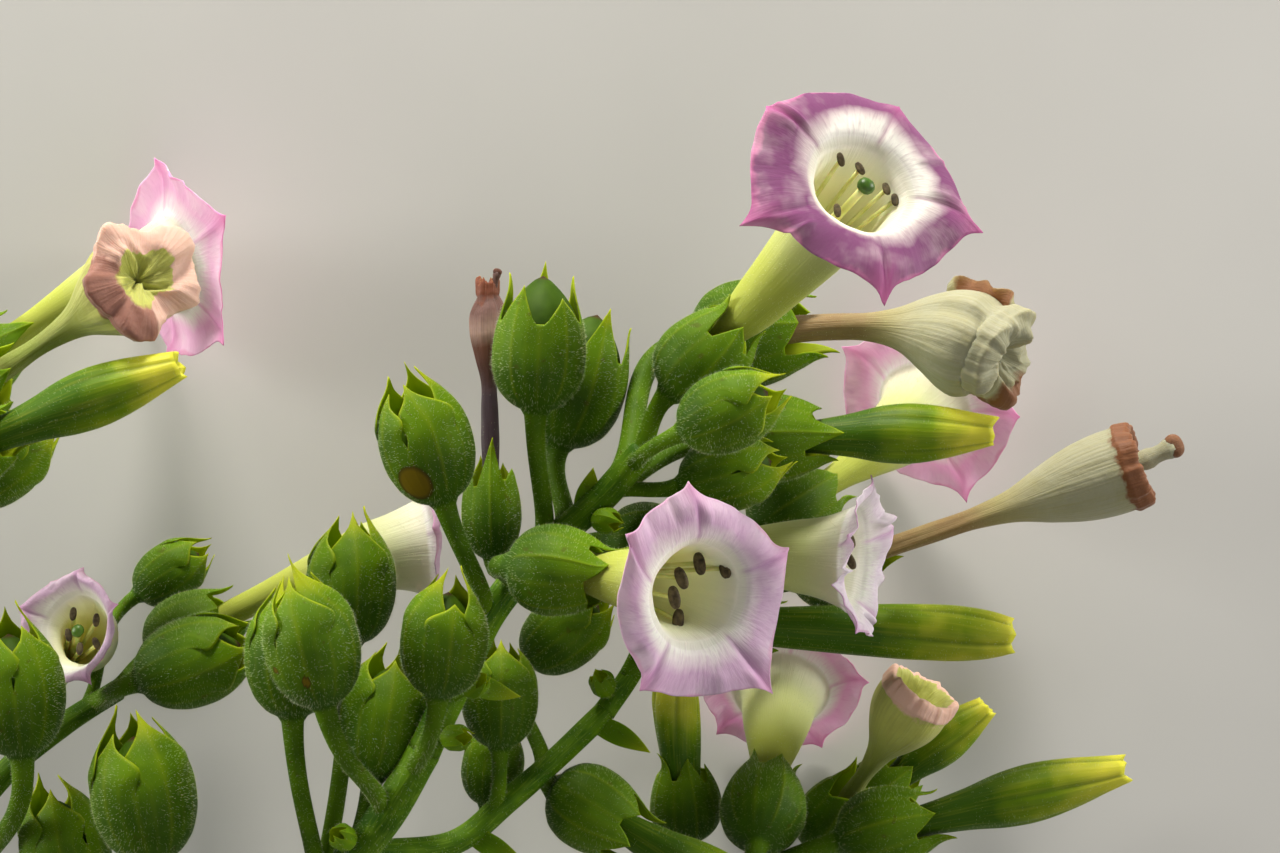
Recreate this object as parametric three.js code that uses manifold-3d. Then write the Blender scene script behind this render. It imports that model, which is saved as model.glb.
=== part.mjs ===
// Flower head of a tobacco plant, cut from its stalk and lying on its back, in millimetres.
//
// It is a panicle: a stalk whose axis leans over to the right, with side branches, and on every branch a row
// of blooms at all their ages. Each bloom is a stalked calyx of five pointed teeth that holds a bud, an open
// trumpet flower, a withered flower, or a seed capsule.
//
// Frame: +Z is up, away from the ground, +Y points from the cut towards the top of the head, and +X is to the
// right of someone who looks down on it. The origin is on the ground, under the middle of the head.
//
// The layout is given as it is seen by someone who looks straight down from VIEW_HEIGHT above the level of
// the nearest blooms: [right, up, height], from the middle of that view, with heights below that level
// negative. A thing that is further from the eye is moved outwards along the line of sight.
import * as THREE from 'three';
import Module from 'manifold-3d';

// Driving dimensions of the head
const VIEW_HEIGHT = 474;
const GROUND = 55.0; // the ground lies this far below the level of the nearest blooms
const MIDDLE = [-19.0, -46.3]; // the middle of the head in the view's own axes, right and up
const CLEARANCE = 0.3; // between two pieces that touch

// Driving dimensions of a bloom
const LOBES = 5;
const CALYX_RADIUS = 5.9;
const CALYX_BODY = 11.5; // from the stalk to the notches between the teeth
const CALYX_TOOTH = 5.4; // from the notches to the tips
const STALK_RADIUS = 1.3;
const TUBE_RADIUS = 1.7;
const CUP_RADIUS = 6.0;
const CUP_LENGTH = 16;
const WITHERED_CUP = 5.7; // radius of a withered flower's slack cup
const LIMB_RADIUS = 16.4; // of the open flower's spread rim, to the tips of its lobes
const NOTCH_SHARE = 0.81; // the same between the lobes, as a share of it
const PETAL = 0.55; // thickness
const CAPSULE_LENGTH = 17.6;

// Facets
const COLUMNS = 2 * LOBES;
const LIMB_SIDES = 7;
const STEP = 1.5; // between two sections of a spine

const wasm = await Module();
wasm.setup();

const COLOURS = {
  stem: 0x5f8f2c,
  calyx: 0x5c9424,
  petal: 0xd884bd,
  bud: 0xa3bd45,
  withered: 0xc9b58c,
};

function material(colour, roughness) {
  return new THREE.MeshStandardMaterial({ color: colour, roughness, metalness: 0, side: THREE.DoubleSide });
}

const MATERIALS = {
  stem: material(COLOURS.stem, 0.6),
  calyx: material(COLOURS.calyx, 0.6),
  petal: material(COLOURS.petal, 0.5),
  bud: material(COLOURS.bud, 0.5),
  withered: material(COLOURS.withered, 0.7),
};

// A point of the layout, in the part's frame
function spot([right, up, height]) {
  const spread = 1 - height / VIEW_HEIGHT;
  return new THREE.Vector3(right * spread - MIDDLE[0], up * spread - MIDDLE[1], height + GROUND);
}

// Spines: points a step apart, each with its forward direction and two directions across it

function spineThrough(points) {
  const distances = [0];
  for (let i = 1; i < points.length; i += 1) {
    distances.push(distances[i - 1] + points[i].distanceTo(points[i - 1]));
  }
  const forwards = points.map((point, i) => {
    const before = points[Math.max(i - 1, 0)];
    const after = points[Math.min(i + 1, points.length - 1)];
    return after.clone().sub(before).normalize();
  });
  const across = [];
  let side = new THREE.Vector3(0, 0, 1);
  for (const forward of forwards) {
    side = side.clone().addScaledVector(forward, -side.dot(forward)).normalize();
    across.push(side);
  }
  return { points, distances, forwards, across, start: 0 };
}

function length(spine) {
  return spine.distances.at(-1) + spine.start;
}

// The section at a distance along a spine, which runs straight on past its ends
function section(spine, distance) {
  const { points, distances, forwards, across, start } = spine;
  const s = distance - start;
  let i = 0;
  while (i < points.length - 2 && distances[i + 1] < s) i += 1;
  const share = (s - distances[i]) / (distances[i + 1] - distances[i]);
  const within = THREE.MathUtils.clamp(share, 0, 1);
  const forward = forwards[i].clone().lerp(forwards[i + 1], within).normalize();
  const side = across[i].clone().lerp(across[i + 1], within);
  side.addScaledVector(forward, -side.dot(forward)).normalize();
  const centre = points[i].clone().lerp(points[i + 1], within);
  if (share < 0) centre.addScaledVector(forward, s - distances[i]);
  if (share > 1) centre.addScaledVector(forward, s - distances[i + 1]);
  return { centre, forward, side, other: forward.clone().cross(side) };
}

function spacedPoints(curve) {
  return curve.getSpacedPoints(Math.max(3, Math.round(curve.getLength() / STEP)));
}

// Solids of sections round a spine. A row is [distance, radius], or [distance, radius, distance between the
// lobes, radius between them]. The first and last rows are points on the spine or flat ends.
function lobedSolid(spine, rows, columns = COLUMNS, turn = 0, flatness = 1) {
  const rings = rows.map((row) => {
    const [tip, tipRadius, notch = tip, notchRadius = tipRadius] = row;
    if (tipRadius === 0) return [section(spine, tip).centre];
    return Array.from({ length: columns }, (_, column) => {
      const onLobe = column % 2 === 0;
      const { centre, side, other } = section(spine, onLobe ? tip : notch);
      const angle = turn + (column * 2 * Math.PI) / columns;
      const radius = onLobe ? tipRadius : notchRadius;
      centre.addScaledVector(side, flatness * radius * Math.cos(angle));
      return centre.addScaledVector(other, radius * Math.sin(angle));
    });
  });
  if (rings[0].length > 1) rings.unshift([section(spine, rows[0][0]).centre]);
  if (rings.at(-1).length > 1) rings.push([section(spine, rows.at(-1)[0]).centre]);
  return solidOfRings(rings, columns);
}

function solidOfRings(rings, columns) {
  const points = rings.flat();
  const triangles = [];
  let first = 0;
  for (let r = 0; r < rings.length - 1; r += 1) {
    const next = first + rings[r].length;
    for (let c = 0; c < columns; c += 1) {
      const d = (c + 1) % columns;
      if (rings[r].length === 1) triangles.push(first, next + d, next + c);
      else if (rings[r + 1].length === 1) triangles.push(first + c, first + d, next);
      else triangles.push(first + c, first + d, next + d, first + c, next + d, next + c);
    }
    first = next;
  }
  return new wasm.Manifold(new wasm.Mesh({
    numProp: 3,
    vertProperties: new Float32Array(points.flatMap((p) => p.toArray())),
    triVerts: new Uint32Array(triangles),
  }));
}

function meshOf(name, solid, finish) {
  const { vertProperties, triVerts } = solid.getMesh();
  const geometry = new THREE.BufferGeometry();
  geometry.setAttribute('position', new THREE.BufferAttribute(vertProperties, 3));
  geometry.setIndex(new THREE.BufferAttribute(triVerts, 1));
  geometry.computeVertexNormals();
  const mesh = new THREE.Mesh(geometry, finish);
  mesh.name = name;
  return mesh;
}

// Stems. Each is one tapering limb; a branch starts on the stem that carries it, a share of the way along.
const STEMS = {
  stalk: {
    foot: 3.5, tip: 2.9,
    path: [
      [-49.1, -122.5, -51.4], [-50.9, -105.8, -45], [-52.0, -91.1, -36],
      [-49.6, -76.5, -28], [-44.5, -66.5, -21],
    ],
  },
  lower_axis: {
    on: 'stalk', at: 1, foot: 2.8, tip: 2.4,
    path: [[-39.3, -58.9, -14], [-33.6, -51.4, -8], [-28.8, -43.4, -5]],
  },
  upper_axis: {
    on: 'lower_axis', at: 1, foot: 2.3, tip: 1.9,
    path: [[-24.3, -33.8, -6], [-19.7, -24.7, -7], [-12.7, -16.2, -6], [-5.3, -9.8, -4], [0.3, -3.4, -2]],
  },
  right_branch: {
    on: 'lower_axis', at: 0.45, foot: 1.9, tip: 1.6,
    path: [[-24.7, -55.4, -18], [-17.6, -49.8, -20], [-11.7, -44.7, -22], [-4.8, -38.1, -24]],
  },
  right_branch_end: {
    on: 'right_branch', at: 1, foot: 1.6, tip: 1.3,
    path: [[-1.1, -32.7, -26], [1.3, -27.1, -27], [2.9, -21.1, -27]],
  },
  back_branch: {
    on: 'stalk', at: 0.9, foot: 2.2, tip: 1.6,
    path: [[-32.0, -71.8, -38], [-13.3, -69.1, -42], [5.3, -63.8, -42], [21.3, -58.9, -40]],
  },
  left_branch: {
    on: 'stalk', at: 0.6, foot: 2.3, tip: 2.0,
    path: [[-65.3, -80.5, -35], [-78.7, -71.1, -33], [-89.1, -60.5, -30]],
  },
  left_branch_end: {
    on: 'left_branch', at: 1, foot: 1.9, tip: 1.5,
    path: [[-89.1, -52.5, -28], [-84.0, -45.5, -27], [-76.8, -39.7, -27], [-69.6, -35.1, -27]],
  },
  far_left_branch: {
    on: 'left_branch', at: 0.93, foot: 1.7, tip: 1.3,
    path: [[-98.7, -48.5, -30], [-102.7, -33.8, -29], [-103.3, -19.1, -27], [-101.3, -7.1, -24]],
  },
};

function stemSolid(spine, foot, tip, extra = 0) {
  const sections = Math.max(3, Math.round(length(spine) / 8));
  const rows = [];
  for (let i = 0; i <= sections; i += 1) {
    const share = i / sections;
    const end = i === 0 ? -extra : i === sections ? extra : 0;
    rows.push([share * length(spine) + end, foot + (tip - foot) * share + extra]);
  }
  return lobedSolid(spine, rows, LIMB_SIDES);
}

// What is left of a solid once it is cut clear of the stems
function clearOf(stems, solid) {
  return Object.values(stems).reduce((left, stem) => largest(left.subtract(stem.grown)), solid);
}

function growStems() {
  const stems = {};
  for (const [name, { on, at, foot, tip, path }] of Object.entries(STEMS)) {
    const points = path.map(spot);
    const carrier = stems[on];
    if (carrier) points.unshift(section(carrier.spine, at * length(carrier.spine)).centre);
    const curve = new THREE.CatmullRomCurve3(points, false, 'centripetal');
    const spine = spineThrough(spacedPoints(curve));
    const solid = clearOf(stems, stemSolid(spine, foot, tip));
    stems[name] = { spine, solid, grown: stemSolid(spine, foot, tip, CLEARANCE) };
  }
  return stems;
}

// Rods from a stem to a small thing's tip, fused with the stem
function sproutOn(stem, at, tip) {
  const foot = section(stem.spine, at * length(stem.spine)).centre;
  const end = spot(tip);
  return spineThrough([foot, foot.clone().lerp(end, 0.5), end]);
}

function bract(stem, { at, tip }) {
  const spine = sproutOn(stem, at, tip);
  const reach = length(spine);
  const rows = [[0, 0.7], [0.45 * reach, 1.5], [0.75 * reach, 1.1], [reach, 0]];
  return lobedSolid(spine, rows, 4, 0, 0.4);
}

function youngBud(stem, { at, tip }) {
  const spine = sproutOn(stem, at, tip);
  const reach = length(spine);
  const rows = [[0, 0.6], [reach - 4.6, 0.6], [reach - 3.6, 1.5], [reach - 1.6, 1.6], [reach, 0]];
  return lobedSolid(spine, rows, LOBES);
}

function addSprouts(stems) {
  for (const [sprouts, sprout] of [[BRACTS, bract], [YOUNG_BUDS, youngBud]]) {
    for (const place of sprouts) {
      const stem = stems[place.on];
      stem.solid = stem.solid.add(sprout(stem, place));
    }
  }
}

function largest(solid) {
  return solid.decompose().sort((a, b) => b.volume() - a.volume())[0];
}

// Small narrow leaves at the feet of stalks and branches, and buds that are still tiny, by their tips
const BRACTS = [
  { on: 'upper_axis', at: 0.76, tip: [-6.6, -5.9, -2] },
  { on: 'upper_axis', at: 0.22, tip: [-15.5, -35.5, -9] },
  { on: 'right_branch', at: 0.95, tip: [1.5, -44.0, -22] },
  { on: 'right_branch', at: 0.4, tip: [-15.5, -58.0, -18] },
  { on: 'lower_axis', at: 0.25, tip: [-32.0, -68.0, -14] },
  { on: 'stalk', at: 0.5, tip: [-42.0, -84.0, -28] },
  { on: 'left_branch', at: 0.5, tip: [-75.0, -80.0, -24] },
  { on: 'back_branch', at: 0.5, tip: [-3.0, -75.0, -38] },
];
const YOUNG_BUDS = [
  { on: 'upper_axis', at: 0.76, tip: [-2.2, -13.0, -1] },
  { on: 'upper_axis', at: 0.14, tip: [-20.5, -33.4, 1] },
  { on: 'upper_axis', at: 0.04, tip: [-22.4, -41.4, -1] },
  { on: 'lower_axis', at: 0.5, tip: [-41.0, -54.0, -5] },
  { on: 'right_branch_end', at: 0.1, tip: [-5.9, -32.6, -20] },
  { on: 'back_branch', at: 0.36, tip: [-18.0, -64.0, -34] },
];

// Blooms. Each leaves its stem at a share of the stem's length. Its seat is where its stalk meets the
// calyx, and its end is the mouth of a flower, the tip of a bud, or a point that a capsule aims at.

// Open flowers: the mouth turns to face a direction, and one lobe of the rim points lobe degrees from +X
// towards +Y. The cup is the length of the wide part, and the rim is a share of LIMB_RADIUS.
const OPEN_FLOWERS = {
  flower_1: {
    on: 'upper_axis', at: 0.99, seat: [3.7, 4.3, -1], end: [29.4, 32.0, 15],
    face: [0.32, 0.44, 0.84], lobe: 63, cup: 26, rim: 1.03,
  },
  flower_2: {
    on: 'upper_axis', at: 0.5, seat: [-17.7, -18.6, 2], end: [7.6, -22.3, 14],
    face: [0.48, -0.14, 0.86], lobe: 95, rim: 0.95,
  },
  flower_3: {
    on: 'right_branch_end', at: 0.75, seat: [-5.0, -15.5, -14], end: [28.0, -17.8, -11],
    face: [0.95, -0.05, 0.30], lobe: 90, rim: 0.72,
  },
  flower_4: {
    on: 'right_branch_end', at: 0.99, seat: [15.5, -13.5, -24], end: [38.0, 2.4, -45],
    face: [0.45, 0.42, -0.78], lobe: 150, rim: 0.92,
  },
  flower_5: {
    on: 'left_branch_end', at: 0.99, seat: [-65.5, -31.0, -30], end: [-28.7, -16.2, -34],
    face: [0.98, 0.10, -0.15], lobe: 90, rim: 0.9,
  },
  flower_6: {
    on: 'far_left_branch', at: 0.97, seat: [-93.6, 5.1, -33], end: [-62.3, 21.7, -42],
    face: [0.80, 0.20, -0.56], lobe: 95,
  },
  flower_7: {
    on: 'back_branch', at: 0.75, seat: [15.6, -55.8, -24], end: [18.7, -35.1, -46],
    face: [0.10, 0.60, -0.79], lobe: 10, cup: 14, rim: 0.85,
  },
  flower_8: {
    on: 'left_branch_end', at: 0.5, seat: [-85.0, -35.5, -42], end: [-75.2, -27.3, -21],
    face: [-0.50, 0.25, 0.83], lobe: 90, size: 0.8, rim: 0.56,
  },
};

const WITHERED_FLOWERS = {
  withered_1: {
    on: 'upper_axis', at: 0.9, seat: [6.7, 11.2, -18], end: [46.8, 9.8, -10],
    face: [0.76, -0.42, 0.50], size: 1.25,
  },
  withered_2: { on: 'right_branch_end', at: 0.88, seat: [20.0, -20.5, -37], end: [64.7, -5.6, -29] },
  withered_3: {
    on: 'upper_axis', at: 0.56, seat: [-19.7, -17.8, -16], end: [-20.3, 17.6, -19], size: 0.75, cup: 3.7,
  },
  withered_4: {
    on: 'back_branch', at: 0.91, seat: [23.0, -56.5, -38], end: [36.7, -36.5, -30], size: 0.9,
  },
  withered_5: {
    on: 'far_left_branch', at: 0.92, seat: [-95.7, 0.2, -19], end: [-67.0, 19.4, -10],
    face: [0.52, 0.22, 0.83], cup: 6.4,
  },
};

const BUDS = {
  bud_1: { on: 'upper_axis', at: 0.8, seat: [11.5, -1.8, -13], end: [48.0, -0.5, -9] },
  bud_2: { on: 'right_branch_end', at: 0.3, seat: [5.0, -26.2, -25], end: [50.3, -27.9, -23] },
  bud_3: { on: 'right_branch', at: 0.7, seat: [-11.7, -47.9, -24], end: [21.3, -67.1, -16] },
  bud_4: { on: 'back_branch', at: 0.62, seat: [6.5, -55.4, -37], end: [4.3, -31.8, -33], size: 0.85 },
  bud_5: { on: 'back_branch', at: 0.99, seat: [28.0, -51.8, -49], end: [46.7, -36.9, -46], size: 0.85 },
  bud_6: { on: 'back_branch', at: 0.83, seat: [26.4, -55.4, -24], end: [65.3, -45.5, -20] },
  bud_7: { on: 'far_left_branch', at: 0.85, seat: [-96.3, -5.4, -8], end: [-60.7, 8.6, -8] },
};

const CAPSULES = {
  capsule_1: { on: 'upper_axis', at: 0.94, seat: [5.5, -0.8, 9], end: [16.0, 4.1, 12], size: 0.84 },
  capsule_2: { on: 'upper_axis', at: 0.86, seat: [5.3, -8.0, -4], end: [18.0, -4.5, -3], size: 0.84 },
  capsule_3: { on: 'upper_axis', at: 0.62, seat: [-13.9, 1.9, -1], end: [-12.9, 20.2, -1] },
  capsule_4: { on: 'upper_axis', at: 0.7, seat: [-10.9, -2.7, -12], end: [-4.9, 17.5, -12], size: 1.08 },
  capsule_5: { on: 'upper_axis', at: 0.38, seat: [-26.1, -10.2, 3], end: [-30.9, 5.5, 4] },
  capsule_6: { on: 'lower_axis', at: 0.68, seat: [-42.0, -37.3, 8], end: [-45.3, -21.5, 9] },
  capsule_7: { on: 'lower_axis', at: 0.86, seat: [-26.9, -36.1, 5], end: [-25.5, -21.8, 6], size: 0.92 },
  capsule_8: { on: 'lower_axis', at: 0.12, seat: [-46.3, -38.9, -6], end: [-46.7, -23.1, -7] },
  capsule_9: { on: 'lower_axis', at: 0.06, seat: [-38.7, -29.1, -18], end: [-38.4, -13.1, -18] },
  capsule_10: { on: 'lower_axis', at: 0.4, seat: [-35.7, -46.9, -9], end: [-32.8, -29.8, -10] },
  capsule_11: {
    on: 'right_branch', at: 0.72, seat: [-15.1, -31.4, -28], end: [-4.5, -23.1, -27], size: 0.85,
  },
  capsule_12: {
    on: 'right_branch', at: 0.5, seat: [-18.7, -42.9, -16], end: [-18.7, -28.5, -16], size: 0.85,
  },
  capsule_13: {
    on: 'right_branch', at: 0.3, seat: [-20.4, -50.6, -27], end: [-19.1, -41.1, -27], size: 0.7,
  },
  capsule_14: { on: 'left_branch_end', at: 0.9, seat: [-66.9, -34.0, -18], end: [-54.0, -29.3, -17] },
  capsule_15: {
    on: 'left_branch_end', at: 0.84, seat: [-67.0, -22.5, -40], end: [-58.7, -16.8, -41], size: 0.7,
  },
  capsule_16: {
    on: 'left_branch', at: 0.97, seat: [-82.4, -43.9, -10], end: [-84.5, -25.1, -9], size: 1.1,
  },
  capsule_17: {
    on: 'left_branch', at: 0.45, seat: [-64.6, -58.0, -11], end: [-67.9, -39.5, -9], size: 1.15,
  },
  capsule_18: { on: 'left_branch', at: 0.7, seat: [-74.7, -63.8, -21], end: [-78.4, -49.1, -20] },
  capsule_19: { on: 'far_left_branch', at: 0.75, seat: [-92.0, -9.0, -31], end: [-79.0, 0.2, -31] },
};

// A bloom's axis: a bent line from its seat to its end. An open flower turns its mouth to face a direction.
function axisOf({ seat, end, face }) {
  const from = spot(seat);
  const to = spot(end);
  const straight = to.clone().sub(from);
  if (!face) return new THREE.LineCurve3(from, to);
  const facing = new THREE.Vector3(...face).normalize();
  const reach = straight.length();
  const bend = to.clone().addScaledVector(facing, -0.35 * reach);
  const rise = bend.clone().sub(from).normalize();
  return new THREE.CubicBezierCurve3(from, from.clone().addScaledVector(rise, 0.3 * reach), bend, to);
}

// The stalk of a bloom, from inside the stem that carries it to the seat, which it reaches along the axis
function stalkOf(axis, stem, at) {
  const foot = section(stem.spine, at * length(stem.spine));
  const seat = axis.getPointAt(0);
  const forward = axis.getTangentAt(0);
  const reach = seat.distanceTo(foot.centre);
  const leave = seat.clone().sub(foot.centre).addScaledVector(foot.forward, 0.5 * reach).normalize();
  return new THREE.CubicBezierCurve3(
    foot.centre,
    foot.centre.clone().addScaledVector(leave, 0.3 * reach),
    seat.clone().addScaledVector(forward, -0.4 * reach),
    seat,
  );
}

function bloomSpine(bloom, stem) {
  const axis = axisOf(bloom);
  const stalk = stalkOf(axis, stem, bloom.at);
  const points = [...spacedPoints(stalk), ...spacedPoints(axis).slice(1)];
  const spine = spineThrough(points);
  spine.start = -spine.distances[spacedPoints(stalk).length - 1];
  return spine;
}

function stalkRows(spine, size) {
  const foot = spine.start;
  return [
    [foot, STALK_RADIUS * size],
    [foot * 0.5, STALK_RADIUS * 0.92 * size],
    [-0.6, STALK_RADIUS * size],
  ];
}

// The wall of a calyx, from the stalk over its belly to the tips of its teeth
function calyxWall(size, notch, tip, gather) {
  const belly = CALYX_RADIUS * size;
  return [
    [0.6 * size, belly * 0.62],
    [3.2 * size, belly * 0.95],
    [7.2 * size, belly * 1.02, 7.2 * size, belly],
    [notch * 1.05, belly * 0.92, notch * 0.9, belly * 0.9],
    [tip, belly * gather, notch, belly * 0.78],
  ];
}

// The hollow of a calyx that a flower stands in
function calyxHollow(size, notch) {
  return [
    [notch, CALYX_RADIUS * 0.78 * size, notch * 0.93, CALYX_RADIUS * 0.68 * size],
    [7 * size, 3.6 * size],
    [4.2 * size, 2.6 * size],
    [3.4 * size, 0],
  ];
}

function flowerCalyx(spine, size) {
  const notch = CALYX_BODY * size;
  const tip = (CALYX_BODY + CALYX_TOOTH) * size;
  return lobedSolid(spine, [
    ...stalkRows(spine, size),
    ...calyxWall(size, notch, tip, 0.8),
    ...calyxHollow(size, notch),
  ]);
}

// A calyx that a bud or a withered flower grows out of, filled up to its notches
function filledCalyx(spine, size) {
  const notch = CALYX_BODY * size;
  const tip = (CALYX_BODY + CALYX_TOOTH) * size;
  return lobedSolid(spine, [
    ...stalkRows(spine, size),
    ...calyxWall(size, notch, tip, 0.62),
    [notch, CALYX_RADIUS * 0.72 * size, notch * 0.9, CALYX_RADIUS * 0.6 * size],
    [notch * 0.88, 0],
  ]);
}

// A ripening calyx: broad teeth that lean in over the pointed seed capsule
function capsuleSolid(spine, size) {
  const notch = 1.06 * CALYX_BODY * size;
  const tip = 19.4 * size;
  const top = CAPSULE_LENGTH * size;
  const belly = CALYX_RADIUS * 1.03 * size;
  return lobedSolid(spine, [
    ...stalkRows(spine, size),
    [0.6 * size, belly * 0.6],
    [3.2 * size, belly * 0.95],
    [7.4 * size, belly * 1.02],
    [14.4 * size, belly * 0.82, notch * 0.97, belly * 0.87],
    [tip, belly * 0.5, notch, belly * 0.82],
    [14 * size, belly * 0.72, notch * 0.97, belly * 0.76],
    [0.74 * top, belly * 0.6],
    [0.92 * top, belly * 0.3],
    [top, 0],
  ]);
}

// The trumpet of an open flower: slender tube, swelling cup and spread rim of five pointed lobes
function openCorolla(spine, { size, cup, rim }, turn) {
  const mouth = length(spine);
  const radius = CUP_RADIUS * size;
  const notch = rim * NOTCH_SHARE;
  return lobedSolid(spine, [
    [3.8 * size, 0],
    [4.2 * size, TUBE_RADIUS * 0.9 * size],
    [0.75 * (mouth - cup), TUBE_RADIUS * 1.2 * size],
    [mouth - cup, radius * 0.5],
    [mouth - 0.5 * cup, radius * 0.84],
    [mouth - 2, radius],
    [mouth + 0.2, radius * 1.3, mouth, radius * 1.22],
    [mouth + 0.8, rim * 0.72, mouth + 1, rim * 0.67],
    [mouth + 0.6, rim, mouth + 1.6, notch],
    [mouth + 1.6, rim * 0.72, mouth + 1.9, rim * 0.66],
    [mouth + 0.9, radius * 1.22, mouth + 0.8, radius * 1.15],
    [mouth - 2.2, radius * 0.97 - PETAL],
    [mouth - 0.5 * cup, radius * 0.84 - PETAL],
    [mouth - cup, radius * 0.5 - PETAL],
    [mouth - cup - 1, 0],
  ], COLUMNS, turn);
}

// Five stamens and a style that stand in the cup, rooted in its foot
function stamens(spine, { size, cup }, turn) {
  const mouth = length(spine);
  const root = section(spine, mouth - cup - 1.5).centre;
  const made = [];
  for (let i = 0; i < LOBES; i += 1) {
    const angle = turn + ((i + 0.5) * 2 * Math.PI) / LOBES;
    const top = section(spine, mouth - 0.4 - 1.6 * (i % 2));
    const out = top.side.clone().multiplyScalar(Math.cos(angle)).addScaledVector(top.other, Math.sin(angle));
    made.push(rodWithHead(root, top.centre.addScaledVector(out, 3.1 * size), 0.32, 0.75, 1.5));
  }
  made.push(rodWithHead(root, section(spine, mouth + 0.6).centre, 0.42, 1.05, 0.95));
  return made;
}

function rodWithHead(from, to, radius, headRadius, headHalf) {
  const run = from.distanceTo(to);
  const rod = spineThrough([from, from.clone().lerp(to, 0.5), to]);
  return lobedSolid(rod, [
    [0, radius],
    [run - headHalf, radius],
    [run - 0.4 * headHalf, headRadius],
    [run + 0.6 * headHalf, headRadius],
    [run + headHalf, 0],
  ], 3);
}

// A bud: a closed tube that swells above the calyx and ends in folded lobes
function budCorolla(spine, size) {
  const end = length(spine);
  const belly = 3.7 * size;
  return lobedSolid(spine, [
    [2.5 * size, TUBE_RADIUS * size],
    [0.45 * end, belly * 0.62],
    [0.66 * end, belly, 0.66 * end, belly * 0.95],
    [0.82 * end, belly * 0.98, 0.82 * end, belly * 0.9],
    [0.97 * end, belly * 0.56, 0.95 * end, belly * 0.42],
    [end, belly * 0.3, 0.97 * end, belly * 0.2],
  ]);
}

// A withered flower: a thin dry tube, a slack cup and a shrivelled rim
function witheredCorolla(spine, size, cup) {
  const mouth = length(spine);
  return lobedSolid(spine, [
    [2.5 * size, TUBE_RADIUS * size],
    [0.62 * mouth, TUBE_RADIUS * 0.95 * size],
    [mouth - 9.5 * size, cup * 0.55],
    [mouth - 5.5 * size, cup * 0.9, mouth - 5.5 * size, cup * 0.86],
    [mouth - 1, cup, mouth - 1, cup * 0.95],
    [mouth + 0.6, cup * 1.2, mouth + 0.2, cup * 1.02],
    [mouth + 2.4, cup * 1.02, mouth + 1.6, cup * 0.84],
    [mouth + 0.8, cup * 0.62, mouth + 0.4, cup * 0.55],
    [mouth - 1, 0],
  ]);
}

// The turn that lays a lobe of the rim in a direction of the view, in degrees from +X towards +Y
function turnTo(spine, degrees) {
  const { side, other } = section(spine, length(spine));
  const angle = THREE.MathUtils.degToRad(degrees);
  const aim = new THREE.Vector3(Math.cos(angle), Math.sin(angle), 0);
  return Math.atan2(aim.dot(other), aim.dot(side));
}

// Each kind of bloom, as [suffix of its name, solid, material] of its pieces

function openFlower(spine, { lobe, size = 1, cup = CUP_LENGTH, rim = 1 }) {
  const turn = turnTo(spine, lobe);
  const shape = { size, cup: cup * size, rim: rim * LIMB_RADIUS };
  const corolla = wasm.Manifold.union([openCorolla(spine, shape, turn), ...stamens(spine, shape, turn)]);
  return [['_calyx', flowerCalyx(spine, size), 'calyx'], ['_corolla', corolla, 'petal']];
}

function witheredFlower(spine, { size = 1, cup = WITHERED_CUP }) {
  return [['', filledCalyx(spine, size).add(witheredCorolla(spine, size, cup * size)), 'withered']];
}

function bud(spine, { size = 1 }) {
  return [['', filledCalyx(spine, size).add(budCorolla(spine, size)), 'bud']];
}

function capsule(spine, { size = 1 }) {
  return [['', capsuleSolid(spine, size), 'calyx']];
}

const head = new THREE.Group();
const stems = growStems();
addSprouts(stems);
for (const [name, { solid }] of Object.entries(stems)) head.add(meshOf(name, solid, MATERIALS.stem));

function growBlooms(blooms, makePieces) {
  for (const [name, bloom] of Object.entries(blooms)) {
    const pieces = makePieces(bloomSpine(bloom, stems[bloom.on]), bloom);
    for (const [suffix, solid, finish] of pieces) {
      head.add(meshOf(name + suffix, clearOf(stems, solid), MATERIALS[finish]));
    }
  }
}

growBlooms(OPEN_FLOWERS, openFlower);
growBlooms(WITHERED_FLOWERS, witheredFlower);
growBlooms(BUDS, bud);
growBlooms(CAPSULES, capsule);

export default head;
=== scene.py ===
"""The finished surfaces of a tobacco plant's cut flower head, lying on its back, with its stage and camera.

The head is laid out as its solids are: from tables of stems and blooms, by the same rules, in millimetres.
Each bloom's surfaces are worked out again here round the same bent axis, with teeth, veins, folds and hairs.
"""
import math
from types import SimpleNamespace
import bmesh
import bpy
import numpy as np
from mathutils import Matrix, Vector


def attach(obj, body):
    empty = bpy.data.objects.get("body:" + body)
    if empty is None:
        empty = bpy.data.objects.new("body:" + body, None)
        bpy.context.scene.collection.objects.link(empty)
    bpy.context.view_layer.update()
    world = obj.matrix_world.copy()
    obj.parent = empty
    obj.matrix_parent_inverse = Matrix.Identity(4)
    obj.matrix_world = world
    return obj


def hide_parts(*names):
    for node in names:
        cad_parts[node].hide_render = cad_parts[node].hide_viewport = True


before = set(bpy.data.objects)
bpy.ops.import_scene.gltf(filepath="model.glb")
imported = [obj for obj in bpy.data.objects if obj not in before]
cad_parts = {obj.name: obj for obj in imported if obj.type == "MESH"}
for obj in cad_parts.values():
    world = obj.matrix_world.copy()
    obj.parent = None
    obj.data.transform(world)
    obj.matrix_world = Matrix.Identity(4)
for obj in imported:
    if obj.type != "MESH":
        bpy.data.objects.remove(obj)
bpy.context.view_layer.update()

bl_info = {
    "name": "Tobacco Flower Head",
    "version": (1, 0, 0),
    "blender": (4, 5, 0),
    "location": "3D Viewport > Sidebar > Flower Head",
    "description": "Grows a cut flower head of a tobacco plant round its solids, with a plain studio",
    "category": "Add Mesh",
}

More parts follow.
